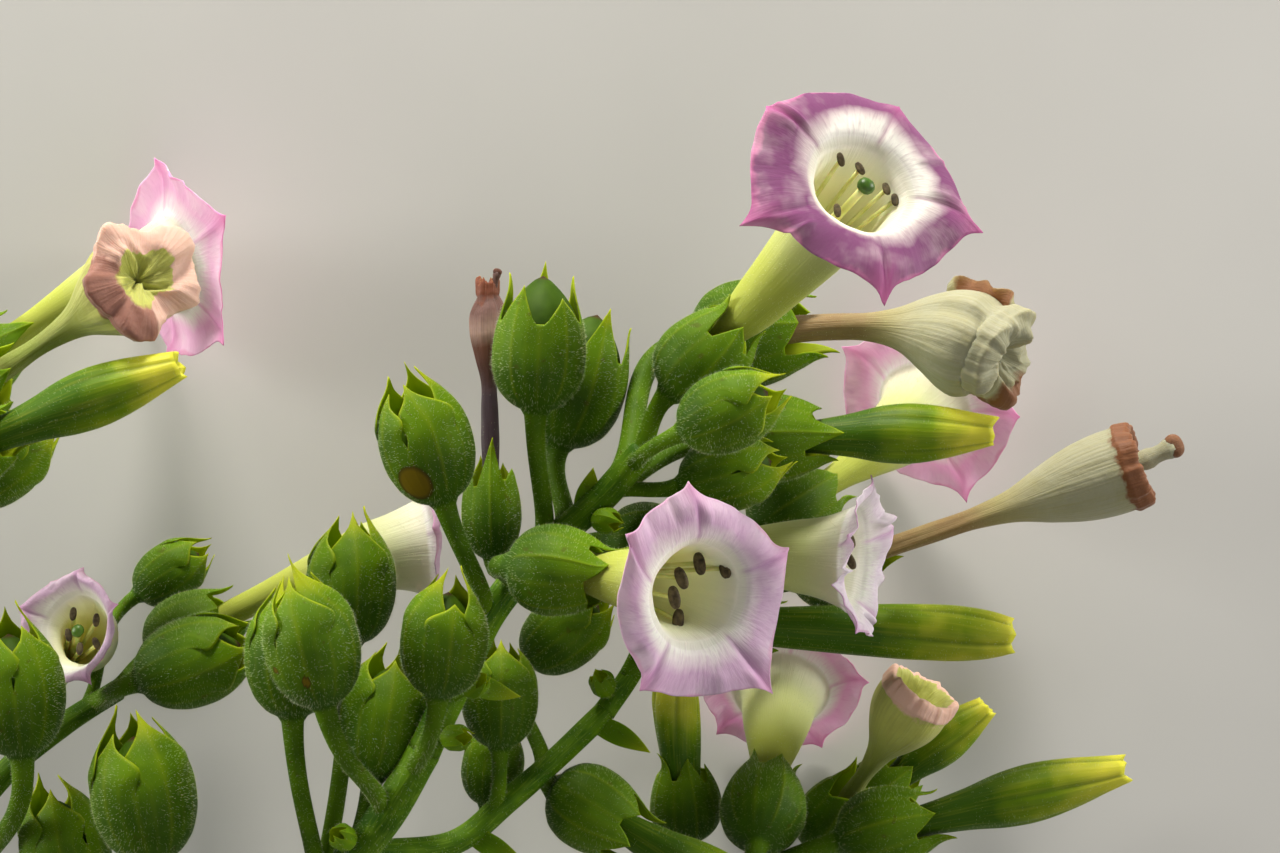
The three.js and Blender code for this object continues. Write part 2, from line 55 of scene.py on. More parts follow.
# The layout's own frame: it is seen by an eye straight above, this far over the level of the nearest blooms
VIEW_HEIGHT = 474.0
GROUND = 55.0  # how far the ground lies below that level
MIDDLE = (-19.0, -46.3)  # the middle of the head in the view, right and up
MM = 0.001
LOBES = 5
FINE = 300  # points of a curve before it is taken in steps
STEP = 0.5  # from one point of an axis to the next
YOUNG_BUD = 0.42  # a young bud's size as a share of a grown one's

# Stems: radius at the foot and the tip, and the points each runs through as [right, up, height]
STEMS = {
    "stalk": dict(foot=3.5, tip=2.9, path=[
        (-49.1, -122.5, -51.4), (-50.9, -105.8, -45), (-52.0, -91.1, -36), (-49.6, -76.5, -28),
        (-44.5, -66.5, -21)]),
    "lower_axis": dict(on="stalk", at=1, foot=2.8, tip=2.4, path=[
        (-39.3, -58.9, -14), (-33.6, -51.4, -8), (-28.8, -43.4, -5)]),
    "upper_axis": dict(on="lower_axis", at=1, foot=2.3, tip=1.9, path=[
        (-24.3, -33.8, -6), (-19.7, -24.7, -7), (-12.7, -16.2, -6), (-5.3, -9.8, -4), (0.3, -3.4, -2)]),
    "right_branch": dict(on="lower_axis", at=0.45, foot=1.9, tip=1.6, path=[
        (-24.7, -55.4, -18), (-17.6, -49.8, -20), (-11.7, -44.7, -22), (-4.8, -38.1, -24)]),
    "right_branch_end": dict(on="right_branch", at=1, foot=1.6, tip=1.3, path=[
        (-1.1, -32.7, -26), (1.3, -27.1, -27), (2.9, -21.1, -27)]),
    "back_branch": dict(on="stalk", at=0.9, foot=2.2, tip=1.6, path=[
        (-32.0, -71.8, -38), (-13.3, -69.1, -42), (5.3, -63.8, -42), (21.3, -58.9, -40)]),
    "left_branch": dict(on="stalk", at=0.6, foot=2.3, tip=2.0, path=[
        (-65.3, -80.5, -35), (-78.7, -71.1, -33), (-89.1, -60.5, -30)]),
    "left_branch_end": dict(on="left_branch", at=1, foot=1.9, tip=1.5, path=[
        (-89.1, -52.5, -28), (-84.0, -45.5, -27), (-76.8, -39.7, -27), (-69.6, -35.1, -27)]),
    "far_left_branch": dict(on="left_branch", at=0.93, foot=1.7, tip=1.3, path=[
        (-98.7, -48.5, -30), (-102.7, -33.8, -29), (-103.3, -19.1, -27), (-101.3, -7.1, -24)]),
}
BRACTS = [
    dict(on="upper_axis", at=0.76, tip=(-6.6, -5.9, -2)),
    dict(on="upper_axis", at=0.22, tip=(-15.5, -35.5, -9)),
    dict(on="right_branch", at=0.95, tip=(1.5, -44.0, -22)),
    dict(on="right_branch", at=0.4, tip=(-15.5, -58.0, -18)),
    dict(on="lower_axis", at=0.25, tip=(-32.0, -68.0, -14)),
    dict(on="stalk", at=0.5, tip=(-42.0, -84.0, -28)),
    dict(on="left_branch", at=0.5, tip=(-75.0, -80.0, -24)),
    dict(on="back_branch", at=0.5, tip=(-3.0, -75.0, -38)),
]
YOUNG_BUDS = [
    dict(on="upper_axis", at=0.76, tip=(-2.2, -13.0, -1)),
    dict(on="upper_axis", at=0.14, tip=(-20.5, -33.4, 1)),
    dict(on="upper_axis", at=0.04, tip=(-22.4, -41.4, -1)),
    dict(on="lower_axis", at=0.5, tip=(-41.0, -54.0, -5)),
    dict(on="right_branch_end", at=0.1, tip=(-5.9, -32.6, -20)),
    dict(on="back_branch", at=0.36, tip=(-18.0, -64.0, -34)),
]

# Blooms: where each leaves its stem, its seat and its end. An open flower's mouth turns to face a direction,
# and lobe is where one of its lobes points in the view. ring gives a direction and a share: the real pale
# ring round the mouth is widened towards that direction by painted light, and narrowed on the far side by
# painted shade. tips and gaps are how far the lobes and the notches between them reach, and heads are where
# the anthers stand.
OPEN_FLOWERS = {
    "flower_1": dict(on="upper_axis", at=0.99, seat=(3.7, 4.3, -1), end=(29.4, 32.0, 15),
                     face=(0.32, 0.44, 0.84), lobe=63, cup=26, rim=1.03, tint="deep", steps=16, crumple=1.3,
                     ring=(50, 0.42),
                     tips=[(-3.8, 0.95), (3.9, 0.95), (-4.9, 1.13), (-6.5, 1.03), (-9.4, 1.04)],
                     gaps=[0.86, 0.91, 0.80, 0.83, 0.78],
                     heads=[(4.7, 50, -1), (3.3, 14, -1), (4.9, 312, -2), (5.7, 294, -2), (2.7, 158, -4)],
                     stigma=(0.8, 307, 0), anther=0.8),
    "flower_2": dict(on="upper_axis", at=0.5, seat=(-17.7, -18.6, 2), end=(7.6, -22.3, 14),
                     face=(0.48, -0.14, 0.86), lobe=95, rim=0.95, tint="pale", steps=16, crumple=1.2,
                     ring=(200, 0.15),
                     tips=[(4.6, 0.96), (-20.4, 0.95), (-3.0, 0.95), (0.6, 1.13), (-0.7, 0.98)],
                     gaps=[0.87, 0.76, 0.86, 0.83, 0.78],
                     heads=[(1.8, 22, -3), (2.0, 112, -3), (4.0, 323, -3), (6.2, 292, -2), (4.6, 190, -5)],
                     stigma=(0.9, 60, -9), anther=1.3),
    "flower_3": dict(on="right_branch_end", at=0.75, seat=(-5.0, -15.5, -14), end=(28.0, -17.8, -11),
                     face=(0.95, -0.05, 0.30), lobe=90, rim=0.76, tint="white", steps=16, crumple=2.3,
                     forward=2.0,
                     heads=[(4.2, 48, 0.4), (3.2, 90, 0.6), (3.5, 180, -2), (3.5, 260, -3), (3.2, 330, -2)],
                     stigma=(0.9, 200, -2)),
    "flower_4": dict(on="right_branch_end", at=0.99, seat=(15.5, -13.5, -24), end=(38.0, 2.4, -45),
                     face=(0.45, 0.42, -0.78), lobe=150, rim=0.92, tint="pink"),
    "flower_5": dict(on="left_branch_end", at=0.99, seat=(-65.5, -31.0, -30), end=(-28.7, -16.2, -34),
                     face=(0.98, 0.10, -0.15), lobe=90, rim=0.9, tint="pale"),
    "flower_6": dict(on="far_left_branch", at=0.97, seat=(-93.6, 5.1, -33), end=(-62.3, 21.7, -42),
                     face=(0.80, 0.20, -0.56), lobe=95, tint="pink"),
    "flower_7": dict(on="back_branch", at=0.75, seat=(15.6, -55.8, -24), end=(18.7, -35.1, -46),
                     face=(0.10, 0.60, -0.79), lobe=10, cup=14, rim=0.85, tint="pink"),
    "flower_8": dict(on="left_branch_end", at=0.5, seat=(-85.0, -35.5, -42), end=(-75.2, -27.3, -21),
                     face=(-0.50, 0.25, 0.83), lobe=90, size=0.8, rim=0.56, tint="pale", crumple=1.6,
                     forward=1.5),
}
WITHERED_FLOWERS = {
    "withered_1": dict(on="upper_axis", at=0.9, seat=(6.7, 11.2, -18), end=(46.8, 9.8, -10),
                       face=(0.76, -0.42, 0.50), size=1.25, look="cream", band=0.2, slack=2.6, gape=0.16,
                       shut=0.25, burnt=(-50, 0.55), flaps=[(9.0, 7.0, -1.5, -1.25, 1.9, 9.5, 1.1)]),
    "withered_2": dict(on="right_branch_end", at=0.88, seat=(20.0, -20.5, -37), end=(64.7, -5.6, -29),
                       look="cream", slack=0.6, style=(71.2, -2.6, -28, 1.35)),
    "withered_3": dict(on="upper_axis", at=0.56, seat=(-19.7, -17.8, -16), end=(-20.3, 17.6, -19), size=0.75,
                       cup=3.7, look="brown", slack=2.2, gape=0.3, shut=0.8, style=(-19.0, 20.6, -18.5, 0.5),
                       form=dict(notch=14.0, tip=21.5, belly=5.4)),
    "withered_4": dict(on="back_branch", at=0.91, seat=(23.0, -56.5, -38), end=(36.7, -36.5, -30), size=0.9,
                       look="fading"),
    "withered_5": dict(on="far_left_branch", at=0.92, seat=(-95.7, 0.2, -19), end=(-67.0, 19.4, -10),
                       face=(0.52, 0.22, 0.83), cup=6.4, look="fading", spread=0.2, slack=2.3, gape=0.1,
                       burnt=(215, 0.15)),
}
WITHERED_LOOKS = {"cream": "cream_withered_petal", "brown": "brown_withered_petal", "fading": "fading_petal"}
BUDS = {
    "bud_1": dict(on="upper_axis", at=0.8, seat=(11.5, -1.8, -13), end=(48.0, -0.5, -9)),
    "bud_2": dict(on="right_branch_end", at=0.3, seat=(5.0, -26.2, -25), end=(50.3, -27.9, -23),
                  shape="even"),
    "bud_3": dict(on="right_branch", at=0.7, seat=(-11.7, -47.9, -24), end=(21.3, -67.1, -16)),
    "bud_4": dict(on="back_branch", at=0.62, seat=(6.5, -55.4, -37), end=(4.3, -31.8, -33), size=0.85,
                  shape="even"),
    "bud_5": dict(on="back_branch", at=0.99, seat=(28.0, -51.8, -49), end=(46.7, -36.9, -46), size=0.85),
    "bud_6": dict(on="back_branch", at=0.83, seat=(26.4, -55.4, -24), end=(65.3, -45.5, -20)),
    "bud_7": dict(on="far_left_branch", at=0.85, seat=(-96.3, -5.4, -8), end=(-60.7, 8.6, -8)),
}
CAPSULES = {
    "capsule_1": dict(on="upper_axis", at=0.94, seat=(5.5, -0.8, 9), end=(16.0, 4.1, 12), size=0.84),
    "capsule_2": dict(on="upper_axis", at=0.86, seat=(5.3, -8.0, -4), end=(18.0, -4.5, -3), size=0.84),
    "capsule_3": dict(on="upper_axis", at=0.62, seat=(-13.9, 1.9, -1), end=(-12.9, 20.2, -1), seed=1.1,
                      form=dict(shape="parted", turn=-0.52, width=0.76, reach=(0.90, 0.82, 1.0, 1.10, 1.0),
                                lap=0.0, notch=11.6, spread=0.0, bulge=0.8, spike=0.05,
                                depths=(1, 1.06, 1, 1, 1.04), bends=(0.2, 0.0, 0.5, 0.2, 0.9))),
    "capsule_4": dict(on="upper_axis", at=0.7, seat=(-10.9, -2.7, -12), end=(-4.9, 17.5, -12), size=1.08,
                      seed=1.05,
                      form=dict(shape="parted", turn=0.3, width=0.84, lap=0.0, notch=11.6, spread=0.0,
                                bulge=0.85, spike=0.05)),
    "capsule_5": dict(on="upper_axis", at=0.38, seat=(-26.1, -10.2, 3), end=(-30.9, 5.5, 4), seed=0.86,
                      form=dict(turn=0.45, reach=(0.90, 1.0, 1.05, 0.98, 0.86),
                                leans=(-0.7, -0.3, 0.1, 0.1, 0.2), bends=(0.1, 0.3, 0.3, 1.7, 0.8), steps=14,
                                blemishes=[(3.9, -0.35, 2.4)])),
    "capsule_6": dict(on="lower_axis", at=0.68, seat=(-42.0, -37.3, 8), end=(-45.3, -21.5, 9), seed=0.86,
                      form=dict(turn=0.1, reach=(0.96, 1.12, 0.95, 0.92, 0.94),
                                leans=(-0.5, -1.2, -0.2, 0.1, -0.1), bends=(0.0, 0.2, 0.2, 0.3, 0.3),
                                steps=12, blemishes=[(6.3, -0.7, 0.45), (4.2, 0.03, 0.6)])),
    "capsule_7": dict(on="lower_axis", at=0.86, seat=(-26.9, -36.1, 5), end=(-25.5, -21.8, 6), size=0.92,
                      seed=0.92,
                      form=dict(turn=0.42, reach=(0.76, 1.04, 0.95, 0.95, 1.02),
                                leans=(0.25, -0.1, 0.1, 0.2, 0.75), bends=(0.0, 0.4, 0.2, 0.2, 0.0),
                                lap=-0.45, steps=12)),
    "capsule_8": dict(on="lower_axis", at=0.12, seat=(-46.3, -38.9, -6), end=(-46.7, -23.1, -7)),
    "capsule_9": dict(on="lower_axis", at=0.06, seat=(-38.7, -29.1, -18), end=(-38.4, -13.1, -18)),
    "capsule_10": dict(on="lower_axis", at=0.4, seat=(-35.7, -46.9, -9), end=(-32.8, -29.8, -10)),
    "capsule_11": dict(on="right_branch", at=0.72, seat=(-15.1, -31.4, -28), end=(-4.5, -23.1, -27),
                       size=0.85),
    "capsule_12": dict(on="right_branch", at=0.5, seat=(-18.7, -42.9, -16), end=(-18.7, -28.5, -16),
                       size=0.85),
    "capsule_13": dict(on="right_branch", at=0.3, seat=(-20.4, -50.6, -27), end=(-19.1, -41.1, -27),
                       size=0.7),
    "capsule_14": dict(on="left_branch_end", at=0.9, seat=(-66.9, -34.0, -18), end=(-54.0, -29.3, -17)),
    "capsule_15": dict(on="left_branch_end", at=0.84, seat=(-67.0, -22.5, -40), end=(-58.7, -16.8, -41),
                       size=0.7),
    "capsule_16": dict(on="left_branch", at=0.97, seat=(-82.4, -43.9, -10), end=(-84.5, -25.1, -9), size=1.1),
    "capsule_17": dict(on="left_branch", at=0.45, seat=(-64.6, -58.0, -11), end=(-67.9, -39.5, -9),
                       size=1.15),
    "capsule_18": dict(on="left_branch", at=0.7, seat=(-74.7, -63.8, -21), end=(-78.4, -49.1, -20)),
    "capsule_19": dict(on="far_left_branch", at=0.75, seat=(-92.0, -9.0, -31), end=(-79.0, 0.2, -31)),
}

# Axes

def spot(place):
    """A point of the layout, in the part's frame."""
    right, up, height = place
    spread = 1 - height / VIEW_HEIGHT
    return np.array([right * spread - MIDDLE[0], up * spread - MIDDLE[1], height + GROUND])


def unit(vectors):
    return vectors / np.linalg.norm(vectors, axis=-1, keepdims=True)


def spaced(fine):
    """The points of a finely drawn line, taken a step apart."""
    run = np.concatenate([[0], np.cumsum(np.linalg.norm(np.diff(fine, axis=0), axis=1))])
    places = np.linspace(0, run[-1], max(3, round(run[-1] / STEP)) + 1)
    return np.stack([np.interp(places, run, fine[:, axis]) for axis in range(3)], axis=1)


def bezier(start, first, second, end):
    t = np.linspace(0, 1, FINE)[:, None]
    u = 1 - t
    return spaced(u ** 3 * start + 3 * u * u * t * first + 3 * u * t * t * second + t ** 3 * end)


def smooth_line(points):
    """A centripetal line through points."""
    points = [2 * points[0] - points[1], *points, 2 * points[-1] - points[-2]]
    fine = []
    for a, b, c, d in zip(points, points[1:], points[2:], points[3:]):
        before, step, after = (max(np.linalg.norm(q - p), 1e-6) ** 0.5 for p, q in ((a, b), (b, c), (c, d)))
        leave = ((b - a) / before - (c - a) / (before + step) + (c - b) / step) * step
        arrive = ((c - b) / step - (d - b) / (step + after) + (d - c) / after) * step
        t = np.linspace(0, 1, 60)[:, None]
        fine.append(b + leave * t + (3 * (c - b) - 2 * leave - arrive) * t ** 2
                    + (2 * (b - c) + leave + arrive) * t ** 3)
    return spaced(np.concatenate([line[:-1] for line in fine] + [fine[-1][-1:]]))


class Spine:
    """A bent axis: points a step apart, each with its forward direction and one across it."""

    def __init__(self, points, start=0.0):
        self.points = points
        self.run = np.concatenate([[0], np.cumsum(np.linalg.norm(np.diff(points, axis=0), axis=1))])
        order = np.arange(len(points))
        self.forward = unit(points[np.minimum(order + 1, order[-1])] - points[np.maximum(order - 1, 0)])
        sides = []
        side = np.array([0.0, 0.0, 1.0])
        for forward in self.forward:
            side = unit(side - side.dot(forward) * forward)
            sides.append(side)
        self.side = np.array(sides)
        self.start = start
        self.length = self.run[-1] + start

    def sections(self, distance):
        """Centre, forward, side and other direction at distances, straight on past the ends."""
        s = np.asarray(distance, float) - self.start
        i = np.clip(np.searchsorted(self.run, s, side="right") - 1, 0, len(self.run) - 2)
        share = (s - self.run[i]) / (self.run[i + 1] - self.run[i])
        within = np.clip(share, 0, 1)[..., None]
        forward = unit(self.forward[i] * (1 - within) + self.forward[i + 1] * within)
        side = self.side[i] * (1 - within) + self.side[i + 1] * within
        side = unit(side - (side * forward).sum(-1, keepdims=True) * forward)
        past = np.where(share < 0, s - self.run[i], np.where(share > 1, s - self.run[i + 1], 0))
        centre = self.points[i] * (1 - within) + self.points[i + 1] * within + past[..., None] * forward
        return centre, forward, side, np.cross(forward, side)


def grow_stem_spines():
    spines = {}
    for name, stem in STEMS.items():
        points = [spot(place) for place in stem["path"]]
        if "on" in stem:
            carrier = spines[stem["on"]]
            points.insert(0, carrier.sections(stem["at"] * carrier.length)[0])
        spines[name] = Spine(smooth_line(points))
    return spines


def bloom_spine(bloom, stems):
    """A bloom's axis, from inside its stem along its stalk to the seat, and on to its end."""
    seat, end = spot(bloom["seat"]), spot(bloom["end"])
    reach = np.linalg.norm(end - seat)
    if "face" in bloom:
        bend = end - 0.35 * reach * unit(np.array(bloom["face"], float))
        axis = bezier(seat, seat + 0.3 * reach * unit(bend - seat), bend, end)
    else:
        axis = spaced(np.linspace(seat, end, FINE))
    stem = stems[bloom["on"]]
    foot, along, _, _ = stem.sections(bloom["at"] * stem.length)
    reach = np.linalg.norm(seat - foot)
    leave = unit(seat - foot + 0.5 * reach * along)
    stalk = bezier(foot, foot + 0.3 * reach * leave, seat - 0.4 * reach * unit(axis[1] - axis[0]), seat)
    run = np.linalg.norm(np.diff(stalk, axis=0), axis=1).sum()
    return Spine(np.concatenate([stalk, axis[1:]]), start=-run)


# Surfaces: grids of points, rows along the axis and columns round it

def smoothstep(low, high, values):
    t = np.clip((values - low) / (high - low), 0, 1)
    return t * t * (3 - 2 * t)


def eased(knots, places):
    """A smooth curve through (place, value) knots."""
    at, value = np.array(knots, float).T
    slope = np.gradient(value, at)
    i = np.clip(np.searchsorted(at, places, side="right") - 1, 0, len(at) - 2)
    width = at[i + 1] - at[i]
    t = np.clip((places - at[i]) / width, 0, 1)
    return (value[i] * (1 + 2 * t) * (1 - t) ** 2 + value[i + 1] * t * t * (3 - 2 * t)
            + width * slope[i] * t * (1 - t) ** 2 - width * slope[i + 1] * t * t * (1 - t))


def waves(rng, angle, orders, power=1.0):
    """A closed wavy line of random phases round an axis, about one high."""
    total = np.zeros_like(angle)
    for order in orders:
        total += np.sin(order * angle + rng.uniform(0, 2 * math.pi)) / order ** power
    return total / sum(order ** -power for order in orders)


class Columns:
    """Columns round five lobes, crowded towards each lobe's middle.

    side runs from -1 in the notch before a lobe to 0 at its middle and 1 in the notch after it.
    """

    def __init__(self, steps, crowd=1.0, turn=0.0):
        half = (np.arange(steps + 1) / steps) ** crowd
        self.side = np.append(np.tile(np.concatenate([half, -half[-2:0:-1]]), LOBES), 0.0)
        step = np.repeat([0, 1], [steps + 1, steps - 1])
        number = np.append(np.tile(step, LOBES) + np.repeat(np.arange(LOBES), 2 * steps), LOBES)
        self.angle = (number + self.side / 2) * 2 * math.pi / LOBES + turn
        self.share = np.abs(self.side)
        self.near = 1 - self.share
        self.lobe = number % LOBES
        self.notch = np.where(self.side < 0, number - 1, number) % LOBES
        self.count = len(self.angle)

    def by_lobe(self, values):
        return np.asarray(values, float)[self.lobe]

    def by_notch(self, values):
        return np.asarray(values, float)[self.notch]


def swept(spine, distance, radius, angle):
    """Points at distances along an axis, at radii and angles round it."""
    centre, _, side, other = spine.sections(distance)
    radius = radius[..., None]
    return centre + side * radius * np.cos(angle)[..., None] + other * radius * np.sin(angle)[..., None]


def rows_of(columns, *parts):
    """Rows of values one above the other, each spread over all columns."""
    return np.concatenate([np.broadcast_to(part, (np.shape(part)[0], columns)) for part in parts])


def add_grid(bm, points, **layers):
    """A grid of points as a skin closed round the axis, with named values kept for the materials."""
    rows, columns = points.shape[:2]
    sheet = bmesh.new()
    sheet.loops.layers.uv.new("UVMap")
    bmesh.ops.create_grid(sheet, x_segments=columns - 1, y_segments=rows - 1, size=0.5, calc_uvs=True)
    mesh = bpy.data.meshes.new("sheet")
    sheet.to_mesh(mesh)
    sheet.free()
    mesh.vertices.foreach_set("co", (points * MM).ravel())
    for name, values in layers.items():
        kept = mesh.attributes.new(name, "FLOAT", "POINT")
        kept.data.foreach_set("value", np.broadcast_to(values, (rows, columns)).astype(float).ravel())
    bm.from_mesh(mesh)
    bpy.data.meshes.remove(mesh)


# Pieces

HAIRY = []  # pieces with hairs, and how many to the square millimetre
HAIR_DENSITY = {"calyx": 5.0, "stem": 3.0, "sprout": 2.0, "petal": 2.0, "withered": 0.8}
HAIRS_IN_A_PIECE = 40000
SAME_POINT = 1e-6  # points no further apart than this are one, in metres


def finish_piece(bm, name, material, nodes=()):
    """A joined skin as an object that rides on the head, in the place of its solids."""
    bmesh.ops.remove_doubles(bm, verts=bm.verts, dist=SAME_POINT)
    bmesh.ops.recalc_face_normals(bm, faces=bm.faces)
    mesh = bpy.data.meshes.new(name)
    bm.to_mesh(mesh)
    bm.free()
    mesh.shade_smooth()
    mesh.materials.append(material)
    piece = bpy.data.objects.new(name, mesh)
    bpy.context.scene.collection.objects.link(piece)
    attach(piece, "root")
    if nodes:
        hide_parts(*nodes)
    return piece


def piece_of(grid, name, material, nodes=()):
    """One grid and its layers as a piece."""
    points, layers = grid
    bm = bmesh.new()
    add_grid(bm, points, **layers)
    return finish_piece(bm, name, MATERIALS[material], nodes)


def seeded(name):
    return np.random.default_rng(sum(ord(letter) * (place + 7) for place, letter in enumerate(name)))


def sizes():
    """The head's sizes in millimetres."""
    kept = bpy.context.scene.flower_head
    names = ("stalk_radius", "calyx_radius", "calyx_body", "cup_radius", "cup_length", "limb_radius",
             "petal", "capsule_length", "hair_length", "hair_radius")
    return SimpleNamespace(**{name: getattr(kept, name) / MM for name in names})


def stalk_rows(spine, size, columns, rng):
    """Distances and radii of a bloom's stalk, swollen at its foot and under the calyx."""
    steps = max(8, round(-spine.start))
    share = np.linspace(0, 1, steps)[:, None]
    girth = sizes().stalk_radius * size * (0.92 + 0.22 * (1 - share) ** 6 + 0.25 * share ** 8)
    return spine.start * (1 - share) - 0.5 * share, girth * (1 + 0.03 * waves(rng, columns.angle, (2, 3, 5)))


# Calyces

# A calyx's radius at shares of its height, each as a share of its belly
CALYX_OUTLINES = {
    "open": [(0, 0.22), (0.035, 0.46), (0.11, 0.75), (0.24, 0.96), (0.40, 1.03), (0.56, 0.98), (0.72, 0.82),
             (0.86, 0.62), (1.08, 0.52)],
    "parted": [(0, 0.22), (0.035, 0.46), (0.11, 0.75), (0.24, 0.96), (0.40, 1.03), (0.56, 1.0), (0.72, 0.88),
               (0.86, 0.74), (1.08, 0.66)],
    "closed": [(0, 0.22), (0.035, 0.46), (0.11, 0.72), (0.24, 0.93), (0.42, 1.03), (0.57, 1.0), (0.69, 0.87),
               (0.80, 0.66), (0.90, 0.42), (1.0, 0.22), (1.15, 0.10)],
}


def calyx_form(size, rng, **given):
    """How one calyx differs: lengths are in millimetres from its seat, and each tooth and notch has a value.

    spread is how far a tooth reaches round over its neighbours, lap how far its one side stands over them,
    spike the share of it that is a narrow point, and light how yellow it turns.
    """
    kept = sizes()
    form = SimpleNamespace(shape="open", notch=kept.calyx_body, tip=15.8, belly=kept.calyx_radius, flare=0.8,
                           width=0.78, bulge=0.62, spike=0.04, keel=0.10, spread=0.0, lap=0.2, least=0.78,
                           steps=9, turn=rng.uniform(0, 1.2), light=0.4, blemishes=())
    form.__dict__.update(given)
    for name in ("notch", "tip", "belly", "flare", "lap"):
        setattr(form, name, getattr(form, name) * size)
    drawn = dict(reach=rng.permutation(np.linspace(form.least, 1.04, LOBES)),
                 bends=rng.uniform(0.1, 1.0, LOBES), leans=rng.uniform(-0.16, 0.16, LOBES),
                 depths=rng.uniform(0.86, 1.06, LOBES))
    form.__dict__.update({name: values for name, values in drawn.items() if name not in given})
    return form


def calyx_radius(form, columns, distance):
    """The radius of a calyx's outer face at distances from its seat."""
    height = distance / form.tip
    radius = form.belly * eased(CALYX_OUTLINES[form.shape], height)
    above = np.clip((distance - form.notch) / (form.tip - form.notch), 0, 1.2)
    keel = form.keel * (np.exp(-(columns.share / 0.10) ** 2)
                        + 0.5 * np.exp(-((1 - columns.share) / 0.08) ** 2))
    hollow = 0.25 * columns.share ** 2 * smoothstep(0.3, 0.6, height)
    radius += (keel - hollow) * smoothstep(0.05, 0.3, height)
    radius += form.lap * np.sin(0.5 * math.pi * columns.side) * smoothstep(0, 0.3, above)
    return radius + form.flare * columns.by_lobe(form.bends) * above ** 3, above


def calyx_turn(form, columns, above):
    """How far each point of a tooth is turned round the axis: a tooth leans, and a broad one spreads."""
    widened = form.spread * columns.side * math.pi / LOBES * smoothstep(0, 0.4, above)
    return columns.by_lobe(form.leans) * above ** 2 + widened


def calyx_grid(spine, size, form, rng):
    """A bloom's stalk and calyx as one closed skin: up the outside, over the teeth and down the inside."""
    columns = Columns(form.steps, 1.5 if form.spread == 0 else 1.15, form.turn)
    tooth = ((1 - form.spike) * np.clip(1 - columns.share / form.width, 0, 1) ** form.bulge
             + form.spike * np.exp(-(columns.share / 0.10) ** 2))
    low, high = form.notch * columns.by_notch(form.depths), form.tip * columns.by_lobe(form.reach)
    top = low * (1 - tooth) + high * tooth
    stalk_s, stalk_r = stalk_rows(spine, size, columns, rng)
    foot = 0.3 * size
    climb = np.linspace(0, 1, 34)[:, None]
    outer_s = foot + climb * (top - foot)
    outer_r, above = calyx_radius(form, columns, outer_s)
    drop = np.array([0.985, 0.95, 0.89, 0.80, 0.68, 0.54, 0.40, 0.26])[:, None]
    inner_s = foot + drop * (top - foot)
    inner_r, within = calyx_radius(form, columns, inner_s)
    wall = (0.22 + 0.25 * (1 - drop)) * size
    inner_r = np.maximum(inner_r - wall, 0.4)
    count = columns.count
    seat = np.full((1, 1), 0.2 * form.tip)
    distance = rows_of(count, [[spine.start]], stalk_s, outer_s, inner_s, seat)
    radius = rows_of(count, [[0]], stalk_r, outer_r, inner_r, [[0]])
    turned, inside = calyx_turn(form, columns, above), calyx_turn(form, columns, within)
    turn = rows_of(count, [[0]], 0 * stalk_s, turned, inside, [[0]])
    points = swept(spine, distance, radius, columns.angle + turn)
    edge = smoothstep(0.93, 1.0, climb) * smoothstep(0.05, 0.5, tooth)
    tone = form.light * np.maximum(smoothstep(0.35, 1.0, above), 0.6 * edge)
    veins = (np.exp(-(columns.share / 0.07) ** 2) + 0.6 * np.exp(-(columns.near / 0.06) ** 2)
             + 0.35 * np.exp(-((columns.share - 0.5) / 0.07) ** 2)) * smoothstep(0, 0.15, climb)
    patch = blemish_on(form, columns, outer_s, outer_r)
    layers = dict(tone=rows_of(count, [[0]], 0 * stalk_s, tone, 0.6 + 0 * inner_s, [[0.3]]),
                  height=rows_of(count, [[0.5]], 0.5 + 0 * stalk_s, outer_s / form.tip, inner_s / form.tip,
                                 [[0.3]]),
                  rib=rows_of(count, [[0]], 0 * stalk_s, veins, 0 * inner_s, [[0]]),
                  hairy=rows_of(count, [[0]], 1 + 0 * stalk_s, 1 - 0.9 * patch, 0 * inner_s, [[0]]),
                  blemish=rows_of(count, [[0]], 0 * stalk_s, patch, 0 * inner_s, [[0]]))
    return points, layers


def blemish_on(form, columns, distance, radius):
    """Round brown patches on a calyx that has some, each given by its height, its direction and its size."""
    patch = 0 * distance
    for height, direction, size in form.blemishes:
        round_ = (columns.angle - direction + math.pi) % (2 * math.pi) - math.pi
        away = np.hypot(distance - height, round_ * radius)
        patch = np.maximum(patch, smoothstep(size * 1.15, size * 0.6, away))
    return patch


def capsule_grid(spine, size, rng):
    """The ripening seed capsule that shows between the teeth: egg-shaped, pointed, with two faint seams."""
    columns = Columns(4)
    top = sizes().capsule_length * size
    climb = np.linspace(0, 1, 26)[:, None]
    outline = [(0, 0), (0.06, 2.6), (0.2, 4.3), (0.4, 4.95), (0.58, 4.7), (0.73, 3.9), (0.86, 2.55),
               (0.94, 1.35), (0.985, 0.5), (1, 0)]
    seam = np.exp(-(np.sin(columns.angle + rng.uniform(0, 3)) / 0.12) ** 2)
    radius = eased(outline, climb) * size * (1 - 0.04 * seam)
    distance = 2.2 * size + climb * (top - 2.2 * size) + 0 * columns.angle
    points = swept(spine, distance, radius, np.broadcast_to(columns.angle, radius.shape))
    return points, dict(tone=climb)


# Petals

def turn_to(spine, degrees):
    """The turn that lays a lobe in a direction of the view, in degrees from +X towards +Y."""
    _, _, side, other = spine.sections(spine.length)
    aim = np.array([math.cos(math.radians(degrees)), math.sin(math.radians(degrees)), 0])
    return math.atan2(aim.dot(other), aim.dot(side))


